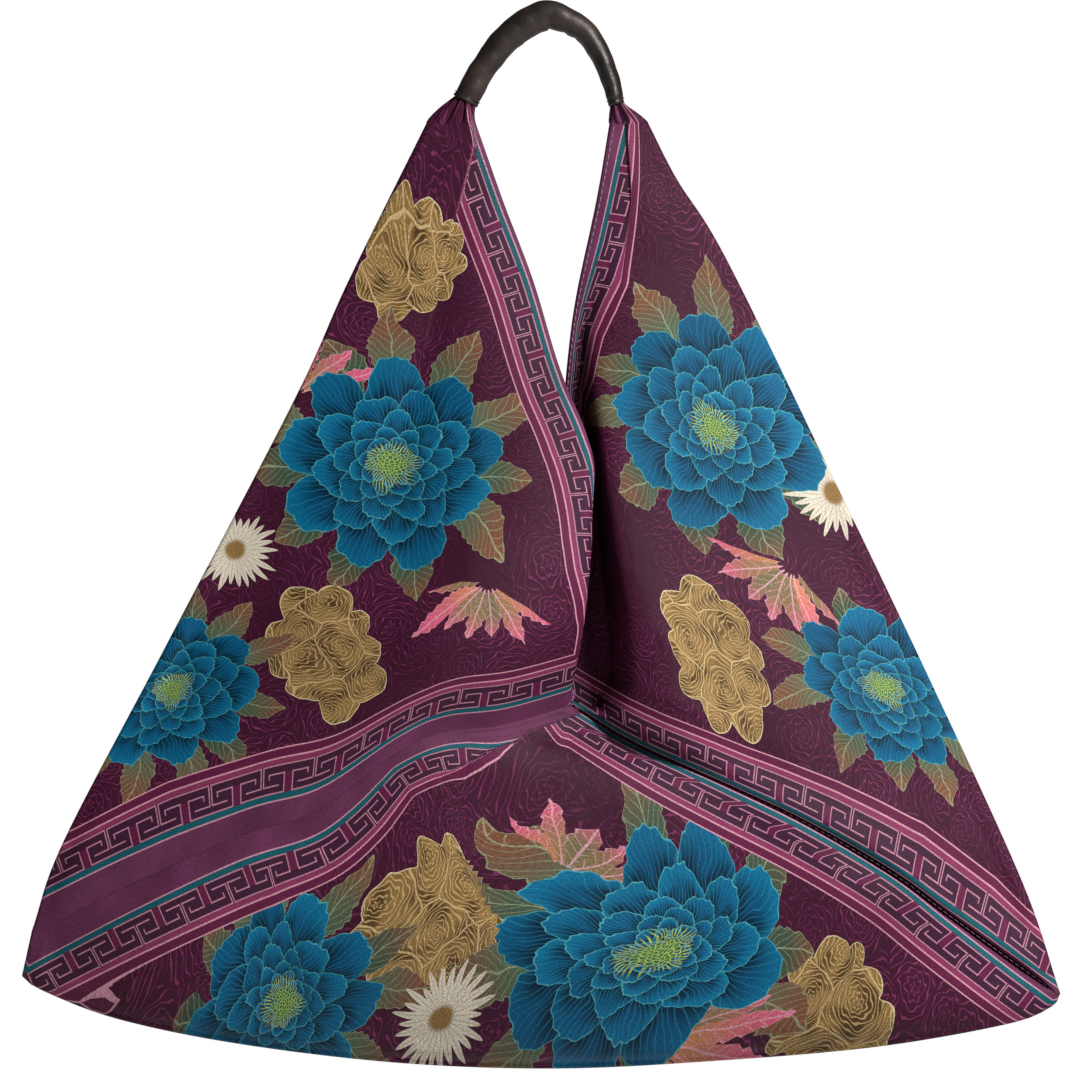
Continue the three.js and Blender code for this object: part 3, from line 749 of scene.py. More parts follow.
def base_columns(tau):
    """Cloth distances of the base square's columns from its left seam, for each row."""
    width = SQUARE * tau
    lip = np.array([0, 0.4, 1, 1.8, 2.8, 4.2, 6, 8.4, 12]) * np.minimum(1, width / 50)
    inner = lip[:, -1:] + (width - 2 * lip[:, -1:]) * np.linspace(0, 1, BASE_COLUMNS)
    return np.hstack([lip[:, :-1], inner, width - lip[:, -2::-1]])


def base():
    """Outer surface of the base square: points and cloth places, notch row first."""
    down = face_columns(np.array([[1.0]]), LEFT_STITCH_SETBACK)[0] / SQUARE
    tau = np.concatenate([[0.001], down])[:, None]
    x = base_columns(tau)
    width = SQUARE * tau + 0 * x
    y = width - x
    flat = base_face(tau + 0 * x, x / width)
    lap = NOTCH_LAP / 2 * (1 - 2 * x / width) * (1 - smooth(width / 30))
    flat[..., 1] -= lap
    soft = smooth(x / 25) * smooth(y / 25) * smooth((SQUARE - width) / 25)
    front, back = flat.copy(), flat.copy()
    height, slack = base_crease(x, y)
    place_x, place_y = squared_to_seams(flat, tau, x, y)
    front[..., 1] -= height + drape(front) * soft
    back[..., 1] -= drape(back * OTHER_SIDE + BACK_SHIFT) * soft
    foot = smooth((SQUARE - width) / 14)
    right_lip = lip_drop(y, lip_size(tau)) * smooth(x / 8) * foot
    left_lip = lip_drop(x, lip_size(tau)) * smooth(y / 8) * foot
    front[..., 1] += right_lip * LIP_INWARDS
    front[..., 2] -= right_lip * LIP_ALONG
    back[..., 1] += left_lip * LIP_INWARDS
    back[..., 2] -= left_lip * LIP_ALONG
    back = back * [1, -1, 1]
    across = x[-1] / SQUARE
    centre, out = base_fold(across)
    turn = np.stack([round_fold(centre, out, angle) for angle in FOLD_ANGLES])
    points = np.concatenate([front, turn, back[::-1]])
    front_uv = np.stack([place_x + slack, place_y], -1)
    back_uv = np.stack([SQUARE - place_y, SQUARE - place_x], -1)
    bend = TURN_CLOTH * smooth((tau - 0.6) / 0.4)[..., None]
    turn_uv = front_uv[-1:] + TURN_CLOTH * (2 * FOLD_ANGLES / np.pi - 1)[:, None, None]
    return points, np.concatenate([front_uv - bend, turn_uv, back_uv[::-1] + bend[::-1]])


def sheet_mesh(name, outer, inner, normals, uv, half=None):
    """A closed sheet with smooth faces between two grids of points, and its cloth places."""
    rows, columns = outer.shape[:2]
    count = rows * columns
    index = np.arange(count).reshape(rows, columns)
    a, b, c, d = index[:-1, :-1], index[:-1, 1:], index[1:, 1:], index[1:, :-1]
    top = np.stack([a, b, c, d], -1).reshape(-1, 4)
    under = top[:, ::-1] + count
    rim = np.concatenate([index[0, ::-1], index[1:, 0], index[-1, 1:], index[-2:0:-1, -1]])
    after = np.roll(rim, -1)
    side = np.stack([rim, after, after + count, rim + count], -1)
    r, k = rows // 3, columns // 3
    here = outer[r, k]
    facing = np.cross(outer[r, k + 1] - here, outer[r + 1, k] - here)
    if facing @ normals[r, k] < 0:
        top, under, side = top[:, ::-1], under[:, ::-1], side[:, ::-1]
    quads = np.concatenate([top, under, side[:, ::-1]])
    points = np.concatenate([outer.reshape(-1, 3), inner.reshape(-1, 3)]) * MM
    places = np.concatenate([uv.reshape(-1, 2)] * 2) / SQUARE
    mesh = bpy.data.meshes.new(name)
    mesh.from_pydata(points.tolist(), [], quads.tolist())
    layer = mesh.uv_layers.new(name="cloth")
    layer.data.foreach_set("uv", places[quads.ravel()].astype(np.float32).ravel())
    if half is not None:
        halves = np.tile((half + 0 * outer[..., 0]).ravel(), 2).astype(np.float32)
        mesh.attributes.new("half", "FLOAT", "POINT").data.foreach_set("value", halves)
    corner = np.concatenate([normals.reshape(-1, 3), -normals.reshape(-1, 3)])[quads.ravel()]
    edge = points[side[:, 1]] - points[side[:, 0]]
    drop = points[side[:, 3]] - points[side[:, 0]]
    flat = unit(np.cross(drop, edge))
    corner[-4 * len(side):] = np.repeat(flat, 4, 0)
    mesh.polygons.foreach_set("use_smooth", np.ones(len(quads), bool))
    mesh.normals_split_custom_set(corner.tolist())
    return new_object(name, mesh)


# The folded strip

left_points, left_uv = gathered(1, *lobe(1))
right_points, right_uv = gathered(-1, *lobe(-1))
base_points, base_uv = base()
left_normals = grid_normals(left_points, 1)
right_normals = grid_normals(right_points, -1)
base_normals = grid_normals(base_points, -1)

HEM_COLUMNS = HEM_STEPS + 2


def share_edge(lobe_points, lobe_normals, lobe_slice, base_index):
    """Makes a lobe's foot and the base square meet as one cloth, in place and in shading."""
    ours = lobe_points[-1, lobe_slice], lobe_normals[-1, lobe_slice]
    theirs = base_points[base_index], base_normals[base_index]
    middle = (ours[0] + theirs[0]) / 2
    out = unit(ours[1] + theirs[1])
    lobe_points[-1, lobe_slice] = middle
    base_points[base_index] = middle
    lobe_normals[-1, lobe_slice] = out
    base_normals[base_index] = out


front_face = slice(HEM_COLUMNS, HEM_COLUMNS + FACE_COLUMNS)
back_face = slice(-HEM_COLUMNS - 1, -HEM_COLUMNS - 1 - FACE_COLUMNS, -1)
front_base = slice(1, FACE_COLUMNS + 1)
back_base = slice(-2, -FACE_COLUMNS - 2, -1)
share_edge(left_points, left_normals, front_face, (front_base, 0))
share_edge(right_points, right_normals, back_face, (back_base, -1))


def cloth_square(name, points, normals, uv, half):
    """The outer cloth of a square; half is 0 on its front and 1 on its back."""
    return sheet_mesh(name, points, points - normals * CLOTH, normals, uv, half)


def back_half(count, on_back):
    """Which of a sheet's lines lie on its back half, the last ones of them all."""
    return np.arange(count) >= count - on_back


lobe_half = back_half(left_points.shape[1], HEM_COLUMNS + FACE_COLUMNS)[None, :]
base_half = back_half(base_points.shape[0], FACE_COLUMNS + 1)[:, None]


def lining_square(name, points, normals, uv, rows, columns):
    """The lining under a square of cloth, on every second line of its grid."""
    r, c = (np.unique([*range(low, high, 2), high - 1]) for low, high in (rows, columns))
    points, normals, uv = (grid[np.ix_(r, c)] for grid in (points, normals, uv))
    outer = points - normals * (CLOTH + LAYER_GAP)
    return sheet_mesh(name, outer, outer - normals * LINING, normals, uv)


left_cloth = cloth_square("left_cloth", left_points, left_normals, left_uv, lobe_half)
right_cloth = cloth_square("right_cloth", right_points, right_normals, right_uv, lobe_half)
base_cloth = cloth_square("base_cloth", base_points, base_normals, base_uv, base_half)

lobe_lining_rows = (GATHER_ROWS, left_points.shape[0])
lobe_lining_columns = (HEM_COLUMNS + 3, left_points.shape[1] - HEM_COLUMNS - 3)
left_lining = lining_square(
    "left_lining_cloth", left_points, left_normals, left_uv, lobe_lining_rows, lobe_lining_columns
)
right_lining = lining_square(
    "right_lining_cloth", right_points, right_normals, right_uv, lobe_lining_rows, lobe_lining_columns
)
base_lining = lining_square(
    "base_lining_cloth", base_points, base_normals, base_uv,
    (1, base_points.shape[0] - 1), (0, base_points.shape[1]),
)

# The handle

SLEEVE_RINGS = 150
SLEEVE_SIDES = 56
SKIN_INSET = 0.15  # how far the leather's faces lie inside the solid sleeve's
SKIN_RADIUS = SLEEVE_RADIUS - SKIN_INSET
ROPE_STRANDS = 3
ROPE_SIDES = 12
ROPE_TURN = 34  # length of one turn of the rope
ROPE_PLAY = 0.7  # between the rope and the bore of the sleeve
STRAND_REACH = 2.155  # radius of three touching strands together, in radii of one
STRAND_OFFSET = 1.15  # distance of a strand from the rope's axis, in the same radii
# Dents on the inner side of the handle's bend: share along, width as a share, and depth
HANDLE_DENTS = [(0.6, 0.012, 0.75), (0.655, 0.01, 0.5), (0.52, 0.014, 0.45), (0.36, 0.012, 0.35)]


def closed_skin(name, rings):
    """A closed tube wall or rod from rings of points, the last ring joined to the first."""
    rings = np.asarray(rings)
    count, sides = rings.shape[:2]
    index = np.arange(count * sides).reshape(count, sides)
    beside = np.roll(index, -1, 1)
    after = np.roll(index, -1, 0)
    both = np.roll(beside, -1, 0)
    quads = np.stack([index, beside, both, after], -1).reshape(-1, 4)
    mesh = bpy.data.meshes.new(name)
    mesh.from_pydata((rings.reshape(-1, 3) * MM).tolist(), [], quads.tolist())
    return new_object(name, mesh)


def outward_faces(obj):
    """Turns a closed mesh's faces outwards."""
    work = bmesh.new()
    work.from_mesh(obj.data)
    bmesh.ops.recalc_face_normals(work, faces=work.faces)
    work.to_mesh(obj.data)
    work.free()


def handle_kinks(shares, angles):
    """Small dents and puckers of the leather, as a change of radius."""
    s = shares[:, None]
    inner = np.clip(-np.cos(angles), 0, 1)[None, :] ** 2
    dents = 0
    for at, width, depth in HANDLE_DENTS:
        dents = dents + depth * np.exp(-(((s - at) / width) ** 2))
    waves = 0.16 * np.sin(s * 47 + np.cos(angles)[None, :] * 2.2) + 0.1 * np.sin(s * 91 + 1.7)
    return waves - dents * inner


def sleeve_ring(share, radius, angles, extra=0.0, shift=0.0):
    """A ring round the handle's line, pressed as the sleeve is and moved along it by a shift."""
    centre, out, swell, tangent = handle_frames([share])
    wide, deep = handle_widening(share)
    r_out = (radius + swell[0] + extra) * wide
    r_back = (radius + extra) * deep
    return (
        centre[0]
        + tangent[0] * shift
        + out[0] * (np.cos(angles) * r_out)[:, None]
        + BACK * (np.sin(angles) * r_back)[:, None]
    )


def make_sleeve():
    """The leather sleeve: outer skin, rounded rims at its two ends and inner skin."""
    angles = np.linspace(0, 2 * np.pi, SLEEVE_SIDES, endpoint=False)
    shares = np.linspace(0, 1, SLEEVE_RINGS)
    kinks = handle_kinks(shares, angles)
    seam = -0.55 * np.exp(-(((angles - np.pi / 2) / 0.055) ** 2))
    near_end = np.minimum(shares, 1 - shares) * handle_line.length
    pinch = -0.55 * np.exp(-(((near_end - END_STITCH_SETBACK) / 1.1) ** 2))
    outer = [
        sleeve_ring(s, SKIN_RADIUS, angles, kinks[k] + seam + pinch[k])
        for k, s in enumerate(shares)
    ]
    wall = SLEEVE_WALL - 2 * SKIN_INSET
    rim = [(wall * turn, 0.35 * math.sin(math.pi * turn)) for turn in (0.35, 0.5, 0.65)]
    last = [sleeve_ring(1, SKIN_RADIUS - depth, angles, 0, past) for depth, past in rim]
    inner = [sleeve_ring(s, SKIN_RADIUS - wall, angles) for s in [*shares[::-3], 0]]
    first = [sleeve_ring(0, SKIN_RADIUS - depth, angles, 0, -past) for depth, past in rim[::-1]]
    obj = closed_skin("handle_leather", outer + last + inner + first)
    outward_faces(obj)
    return obj


def make_rope():
    """A rope of three twisted strands inside the sleeve."""
    clear = (TUCK + LAYER_GAP) / handle_line.length
    shares = np.linspace(clear, 1 - clear, 130)
    radius = (BORE_RADIUS - ROPE_PLAY) / STRAND_REACH
    angles = np.linspace(0, 2 * np.pi, ROPE_SIDES, endpoint=False)
    centres, outs, _, _ = handle_frames(shares)
    turns = (shares - clear) * handle_line.length / ROPE_TURN * 2 * np.pi
    points, quads = [], []
    for strand in range(ROPE_STRANDS):
        phase = turns + 2 * np.pi * strand / ROPE_STRANDS
        offset = outs * np.cos(phase)[:, None] + BACK * np.sin(phase)[:, None]
        middle = centres + offset * radius * STRAND_OFFSET
        taper = np.minimum(1, np.minimum(shares - clear, 1 - clear - shares) * 60 + 0.25)
        rings = [
            m + (o * np.cos(angles)[:, None] + BACK * np.sin(angles)[:, None]) * radius * t
            for m, o, t in zip(middle, outs, taper)
        ]
        start = len(points)
        points += [middle[0], *np.concatenate(rings), middle[-1]]
        first = start + 1
        last = first + (len(rings) - 1) * ROPE_SIDES
        for j in range(ROPE_SIDES):
            beside = (j + 1) % ROPE_SIDES
            for ring in range(first, last, ROPE_SIDES):
                after = ring + ROPE_SIDES
                quads.append((ring + j, ring + beside, after + beside, after + j))
            quads.append((start, first + beside, first + j))
            quads.append((last + ROPE_SIDES, last + j, last + beside))
    mesh = bpy.data.meshes.new("handle_rope")
    mesh.from_pydata((np.array(points) * MM).tolist(), [], quads)
    obj = new_object("handle_rope", mesh)
    outward_faces(obj)
    return obj


handle_leather = make_sleeve()
handle_rope = make_rope()

# Stitches


def stitch_tree():
    """Geometry nodes that lay a row of arched stitches along a path of edges."""
    tree = bpy.data.node_groups.new("row_of_stitches", "GeometryNodeTree")
    face = tree.interface
    face.new_socket("Path", in_out="INPUT", socket_type="NodeSocketGeometry")
    for name in ("Pitch", "Length", "Thread", "Dip"):
        face.new_socket(name, in_out="INPUT", socket_type="NodeSocketFloat")
    face.new_socket("Finish", in_out="INPUT", socket_type="NodeSocketMaterial")
    face.new_socket("Stitches", in_out="OUTPUT", socket_type="NodeSocketGeometry")
    nodes, links = tree.nodes, tree.links

    def add(kind, inputs, **settings):
        """A node whose inputs are fed with values or with the outputs of other nodes."""
        node = nodes.new("GeometryNode" + kind if not kind.startswith(("Shader", "Func")) else kind)
        for key, item in settings.items():
            setattr(node, key, item)
        for key, item in inputs.items():
            if isinstance(item, bpy.types.NodeSocket):
                links.new(item, node.inputs[key])
            else:
                node.inputs[key].default_value = item
        return node.outputs

    def times(item, factor):
        return add("ShaderNodeMath", {0: item, 1: factor}, operation="MULTIPLY")[0]

    def stored(name):
        return add("InputNamedAttribute", {"Name": name}, data_type="FLOAT_VECTOR")["Attribute"]

    given = nodes.new("NodeGroupInput").outputs
    path = add("MeshToCurve", {"Mesh": given["Path"]})[0]
    spaced = add("CurveToPoints", {"Curve": path, "Length": given["Pitch"]}, mode="LENGTH")
    axes = {"Primary Axis": stored("way"), "Secondary Axis": stored("out")}
    turned = add("FunctionNodeAxesToRotation", axes, primary_axis="X", secondary_axis="Z")[0]

    # One stitch: a thread that rises from the cloth, lies over it and dips in again
    low = times(given["Dip"], -1.0)
    start, end = (
        add("ShaderNodeCombineXYZ", {"X": times(given["Length"], half), "Z": low})[0]
        for half in (-0.5, 0.5)
    )
    top = add("ShaderNodeCombineXYZ", {"Z": given["Dip"]})[0]
    bend = {"Resolution": 5, "Start": start, "Middle": top, "End": end}
    line = add("CurveQuadraticBezier", bend)[0]
    section = add("CurvePrimitiveCircle", {"Resolution": 6, "Radius": given["Thread"]})[0]
    stitch = add("CurveToMesh", {"Curve": line, "Profile Curve": section, "Fill Caps": True})[0]

    spots = {"Points": spaced["Points"], "Instance": stitch, "Rotation": turned}
    laid = add("InstanceOnPoints", spots)[0]
    real = add("RealizeInstances", {0: laid})[0]
    rounded = add("SetShadeSmooth", {0: real})[0]
    finished = add("SetMaterial", {"Geometry": rounded, "Material": given["Finish"]})[0]
    links.new(finished, nodes.new("NodeGroupOutput").inputs[0])
    return tree


def row_of_stitches(name, path, out, finish, pitch=STITCH_PITCH, length=STITCH_LENGTH, dip=0.5):
    """A piece of separate stitches along a path, lying on the cloth that faces out."""
    way = unit(np.gradient(path, axis=0))
    mesh = bpy.data.meshes.new(name)
    edges = [(k, k + 1) for k in range(len(path) - 1)]
    mesh.from_pydata((path * MM).tolist(), edges, [])
    for key, vectors in (("out", out), ("way", way)):
        layer = mesh.attributes.new(key, "FLOAT_VECTOR", "POINT")
        layer.data.foreach_set("vector", vectors.astype(np.float32).ravel())
    obj = new_object(name, mesh)
    made = obj.modifiers.new("stitches", "NODES")
    made.node_group = STITCHES
    sizes = {
        "Pitch": pitch * MM, "Length": length * MM, "Thread": THREAD_RADIUS * MM,
        "Dip": dip * MM, "Finish": finish,
    }
    for socket in STITCHES.interface.items_tree:
        if socket.in_out == "INPUT" and socket.name in sizes:
            made[socket.identifier] = sizes[socket.name]
    graph = bpy.context.evaluated_depsgraph_get()
    solid = bpy.data.meshes.new_from_object(obj.evaluated_get(graph))
    obj.modifiers.clear()
    obj.data = solid
    solid.name = name
    return obj


STITCHES = stitch_tree()


# Finishes


def paint(code):
    """Linear colour of a hex code."""
    parts = [int(code[k:k + 2], 16) / 255 for k in (1, 3, 5)]
    return tuple(v / 12.92 if v <= 0.04045 else ((v + 0.055) / 1.055) ** 2.4 for v in parts) + (1.0,)


class Number:
    """A number on a material's wires that can be reckoned with."""

    def __init__(self, finish, socket):
        self.finish, self.socket = finish, socket

    def do(self, operation, *others, **more):
        return self.finish.math(operation, self, *others, **more)

    def __add__(self, other):
        return self.do("ADD", other)

    def __sub__(self, other):
        return self.do("SUBTRACT", other)

    def __mul__(self, other):
        return self.do("MULTIPLY", other)

    def __truediv__(self, other):
        return self.do("DIVIDE", other)

    def __rsub__(self, other):
        return self.finish.math("SUBTRACT", other, self)

    def __abs__(self):
        return self.do("ABSOLUTE")

    __radd__, __rmul__ = __add__, __mul__


class Finish:
    """A material being wired: each call adds a node and gives back its output."""

    def __init__(self, name):
        self.material = bpy.data.materials.new(name)
        self.material.use_nodes = True
        self.nodes = self.material.node_tree.nodes
        self.links = self.material.node_tree.links
        self.shader = self.nodes["Principled BSDF"]

    def feed(self, socket, item):
        if isinstance(item, Number):
            item = item.socket
        if isinstance(item, bpy.types.NodeSocket):
            self.links.new(item, socket)
        else:
            socket.default_value = item

    def node(self, kind, inputs=(), **settings):
        node = self.nodes.new(kind)
        for key, item in settings.items():
            setattr(node, key, item)
        for key, item in dict(inputs).items():
            self.feed(node.inputs[key], item)
        return node

    def math(self, operation, *items, clamp=False):
        node = self.node("ShaderNodeMath", operation=operation, use_clamp=clamp)
        for socket, item in zip(node.inputs, items):
            self.feed(socket, item)
        return Number(self, node.outputs[0])

    def vector(self, operation, *items):
        node = self.node("ShaderNodeVectorMath", operation=operation)
        sockets = (0, 3) if operation == "SCALE" else (0, 1, 2)
        for k, item in zip(sockets, items):
            self.feed(node.inputs[k], item)
        if operation in ("LENGTH", "DOT_PRODUCT"):
            return Number(self, node.outputs[1])
        return node.outputs[0]

    def parts(self, vector):
        node = self.node("ShaderNodeSeparateXYZ", {0: vector})
        return Number(self, node.outputs[0]), Number(self, node.outputs[1])

    def joined(self, x, y):
        return self.node("ShaderNodeCombineXYZ", {0: x, 1: y}).outputs[0]

    def own_place(self):
        """Places on a piece, in metres."""
        return self.node("ShaderNodeTexCoord").outputs["Object"]

    def cloth_place(self):
        """Places on the flat cloth, in millimetres."""
        flat = self.node("ShaderNodeUVMap", uv_map="cloth").outputs[0]
        return self.vector("SCALE", flat, float(SQUARE))

    def ease(self, item, low, high):
        """0 below low and 1 above high, or the other way round where low is the greater."""
        node = self.node("ShaderNodeMapRange", interpolation_type="SMOOTHSTEP")
        for key, part in (("Value", item), ("From Min", low), ("From Max", high)):
            self.feed(node.inputs[key], part)
        return Number(self, node.outputs[0])

    def mix(self, share, a, b):
        """A colour between two, by a share."""
        node = self.node("ShaderNodeMix", data_type="RGBA")
        for k, item in ((0, share), (6, a), (7, b)):
            self.feed(node.inputs[k], item)
        return node.outputs[2]

    def pick(self, share, a, b):
        """A number between two, by a share."""
        node = self.node("ShaderNodeMix", {0: share, 2: a, 3: b}, data_type="FLOAT")
        return Number(self, node.outputs[0])

    def noise(self, place, scale, detail=2.0, colour=False):
        node = self.node("ShaderNodeTexNoise", {"Vector": place, "Scale": scale, "Detail": detail})
        return node.outputs["Color"] if colour else Number(self, node.outputs["Fac"])

    def cells(self, place, scale, chance, **settings):
        """Voronoi cells round scattered points."""
        inputs = {"Vector": place, "Scale": scale, "Randomness": chance}
        return self.node("ShaderNodeTexVoronoi", inputs, **settings).outputs

    def chance(self, x, y):
        """A steady random number for each pair of whole numbers."""
        node = self.node("ShaderNodeTexWhiteNoise", {"Vector": self.joined(x, y)})
        return Number(self, node.outputs["Value"])

    def turn(self, x, y):
        return self.math("ARCTAN2", y, x)

    def reach(self, x, y):
        """Distance from the middle of a motif, in the plane of the cloth."""
        return self.math("SQRT", x * x + y * y)

    def fract(self, item):
        return self.math("FRACT", item)

    def line(self, item, half, soft=0.25):
        """1 within half of zero, falling to 0 over a soft edge."""
        return self.ease(abs(item), half + soft, half)

    def stripes(self, item, stops):
        """The colour of the last stop that a number has passed."""
        node = self.node("ShaderNodeValToRGB", {0: item})
        band = node.color_ramp
        band.interpolation = "CONSTANT"
        for k, (start, colour) in enumerate(stops):
            stop = band.elements[k] if k < 2 else band.elements.new(start)
            stop.position, stop.color = start, colour
        return node.outputs[0]

    def bump(self, height, strength, distance, normal=None):
        inputs = {"Height": height, "Strength": strength, "Distance": distance}
        node = self.node("ShaderNodeBump", inputs)
        if normal is not None:
            self.feed(node.inputs["Normal"], normal)
        return node.outputs[0]

    def coat(self, **sockets):
        """Feeds the shader's own sockets, with _ in their names for a space."""
        for name, item in sockets.items():
            self.feed(self.shader.inputs[name.replace("_", " ")], item)


# Colours of the print
GROUND, GROUND_DEEP, CURL = paint("#521b38"), paint("#3c1229"), paint("#9c4072")
BAND_PLAIN, BAND_DEEP = paint("#85446a"), paint("#50213d")
LINE_PINK, LINE_BRIGHT = paint("#d79aac"), paint("#e09fb1")
TEAL, ROSE, CRIMSON = paint("#17606c"), paint("#923a62"), paint("#6a2147")
FRET_GROUND, FRET_PINK = paint("#45203a"), paint("#cd8ba0")
PETAL_DEEP, PETAL, PETAL_LIGHT = paint("#012438"), paint("#015680"), paint("#0b82ad")
PETAL_LINE, PETAL_EDGE = paint("#2a8dab"), paint("#5cb9c0")
LINING_PLAIN, LINING_DEEP = paint("#321726"), paint("#24101b")
LEATHER, LEATHER_DEEP = paint("#382c25"), paint("#1b1410")
COTTON, COTTON_SHADE = paint("#cbb58e"), paint("#8e7852")
STAMEN, STAMEN_DEEP = paint("#c2cf5e"), paint("#3f7c56")
LEAF_TONES = [paint(code) for code in ("#3a4f41", "#66795f", "#8a5640", "#a9b48c")]
SPRIG_TONES = [paint(code) for code in ("#6a7350", "#dd8d62", "#e8638a", "#f3b2c0")]
GOLD, GOLD_DEEP = paint("#a07c48"), paint("#5d4123")
GOLD_LINE, GOLD_EDGE = paint("#e0bf86"), paint("#efe0ae")
CREAM, CREAM_SHADE = paint("#f3e8d2"), paint("#b89f86")
THREAD_SHADE = paint("#3a2230")

# The motifs of the print
FULL_TURN = 2 * math.pi
BLOSSOM_RADIUS = 86
BLOSSOM_PETALS = 9
RING_RATIO = 0.735  # size of a ring of petals against the one outside it
PETAL_VEINS = 11.0
STAMEN_SPOKES = 44
DAISY_PETALS = 26


def nearest(f, place, spots):
    """The place measured from the nearest of several centres, turned and scaled as each says."""
    best = None
    for k, (x, y, degrees, scale) in enumerate(spots):
        here = f.vector("SUBTRACT", place, (x, y, 0.0))
        reach = f.vector("LENGTH", here) * (1 / scale)
        own = math.radians(degrees), 1 / scale, float(k)
        if best is None:
            best, away, kept = reach, here, own
            continue
        closer = f.math("LESS_THAN", reach, best)
        best = f.math("MINIMUM", reach, best)
        nearer = f.node("ShaderNodeMix", {0: closer, 4: away, 5: here}, data_type="VECTOR")
        away = nearer.outputs[1]
        kept = [f.pick(closer, *pair) for pair in zip(kept, own)]
    turn, size, mark = kept
    turned = f.node("ShaderNodeVectorRotate", {"Vector": away, "Angle": turn}, rotation_type="Z_AXIS")
    return f.vector("SCALE", turned.outputs[0], size), mark


def curls(f, place, cell, gap, half):
    """Lines that coil inside scattered round cells: their mask, and how near a cell's edge is."""
    centres = f.cells(place, 1 / cell, 0.8, voronoi_dimensions="2D")["Position"]
    here = f.vector("SUBTRACT", place, centres)
    reach = f.vector("LENGTH", here)
    angle = f.turn(*f.parts(here))
    frill = f.math("SINE", angle * 7 + reach * 0.9) * 0.22
    phase = f.fract(reach * (1 / gap) + angle * (1 / FULL_TURN) + frill)
    edges = f.cells(place, 1 / cell, 0.8, voronoi_dimensions="2D", feature="DISTANCE_TO_EDGE")
    rim = Number(f, edges["Distance"]) * cell
    coil = f.line((phase - 0.5) * gap, half) * f.ease(rim, 0.3, 1.6)
    return coil, rim


def petals(f, x, y, reach):
    """Petals in staggered rings that shrink inwards, at places on a blossom.

    It gives the distance from a petal's tip and from the petals that cover it, both in rings,
    how far aside of its middle a place lies, the number of its ring, and the petal's chance.
    """
    around = f.turn(x, y) * (BLOSSOM_PETALS / FULL_TURN) + 0.25
    inwards = f.math("LOGARITHM", reach * (1 / BLOSSOM_RADIUS), RING_RATIO)
    ring = f.math("FLOOR", inwards)
    past = inwards - ring
    own_side, next_side = (f.fract(around + ring * 0.5 + half) - 0.5 for half in (0.0, 0.5))
    own_rim, next_rim = (
        f.math("POWER", abs(side) * 2, 2.4) * 0.8 + f.math("SINE", side * 37) * 0.035
        for side in (own_side, next_side)
    )
    inside = f.math("GREATER_THAN", past, own_rim)
    tip = f.pick(inside, past + 1 - next_rim, past - own_rim)
    cover = f.pick(inside, own_rim - past, 1 + next_rim - past)
    level = ring - 1 + inside
    petal = f.math("FLOOR", around + level * 0.5)
    return tip, cover, f.pick(inside, next_side, own_side), level, f.chance(petal, level)


def blossom(f, colour, spot):
    """A big layered blossom: ringed petals with fine veins, and a crown of stamens."""
    x, y = f.parts(spot)
    reach = f.reach(x, y)
    tip, cover, side, level, luck = petals(f, x, y, reach)
    inside = f.math("GREATER_THAN", level, -0.5)
    from_tip = tip * reach * 0.31  # in millimetres, as the two below
    across_petal = reach * (FULL_TURN / BLOSSOM_PETALS)
    from_flank = (0.5 - abs(side)) * across_petal
    body = f.mix(f.ease(cover, -0.1, 1.0), PETAL_DEEP, PETAL)
    body = f.mix(f.ease(tip, 0.8, 0.0) * (luck * 0.8 + 0.15), body, PETAL_LIGHT)

    fan = side * (f.math("MINIMUM", tip, 1.2) * 0.22 + 1) * PETAL_VEINS
    from_vein = (f.fract(fan + luck * 3) - 0.5) * across_petal * (1 / PETAL_VEINS)
    veins = f.line(from_vein, 0.14, 0.3) * f.ease(reach, 14.0, 34.0) * 0.55
    body = f.mix(veins, body, PETAL_LINE)
    flanks = f.ease(from_flank, 0.65, 0.25) * f.ease(tip, 1.0, 0.5) * 0.8
    edge = f.math("MAXIMUM", f.ease(from_tip, 1.15, 0.5), flanks)
    body = f.mix(edge * 0.8, body, PETAL_EDGE)

    # Dots in the heart, and the stamens that stand round it
    dots = f.cells(spot, 0.4, 0.9, voronoi_dimensions="2D", feature="DISTANCE_TO_EDGE")["Distance"]
    between_dots = f.ease(Number(f, dots), 0.16, 0.05)
    from_spoke = (f.fract(f.turn(x, y) * (STAMEN_SPOKES / FULL_TURN)) - 0.5) * reach
    spokes = f.line(from_spoke * (FULL_TURN / STAMEN_SPOKES), 0.3, 0.3)
    stamens = f.pick(f.ease(reach, 11.0, 15.0), between_dots, spokes)
    heart = f.mix(stamens, STAMEN_DEEP, STAMEN)
    ragged = f.ease(reach + luck * 7, 27.0, 17.0)
    body = f.mix(ragged * f.math("MAXIMUM", stamens, f.ease(reach, 13.0, 8.0)), body, heart)
    return f.mix(inside, colour, body)


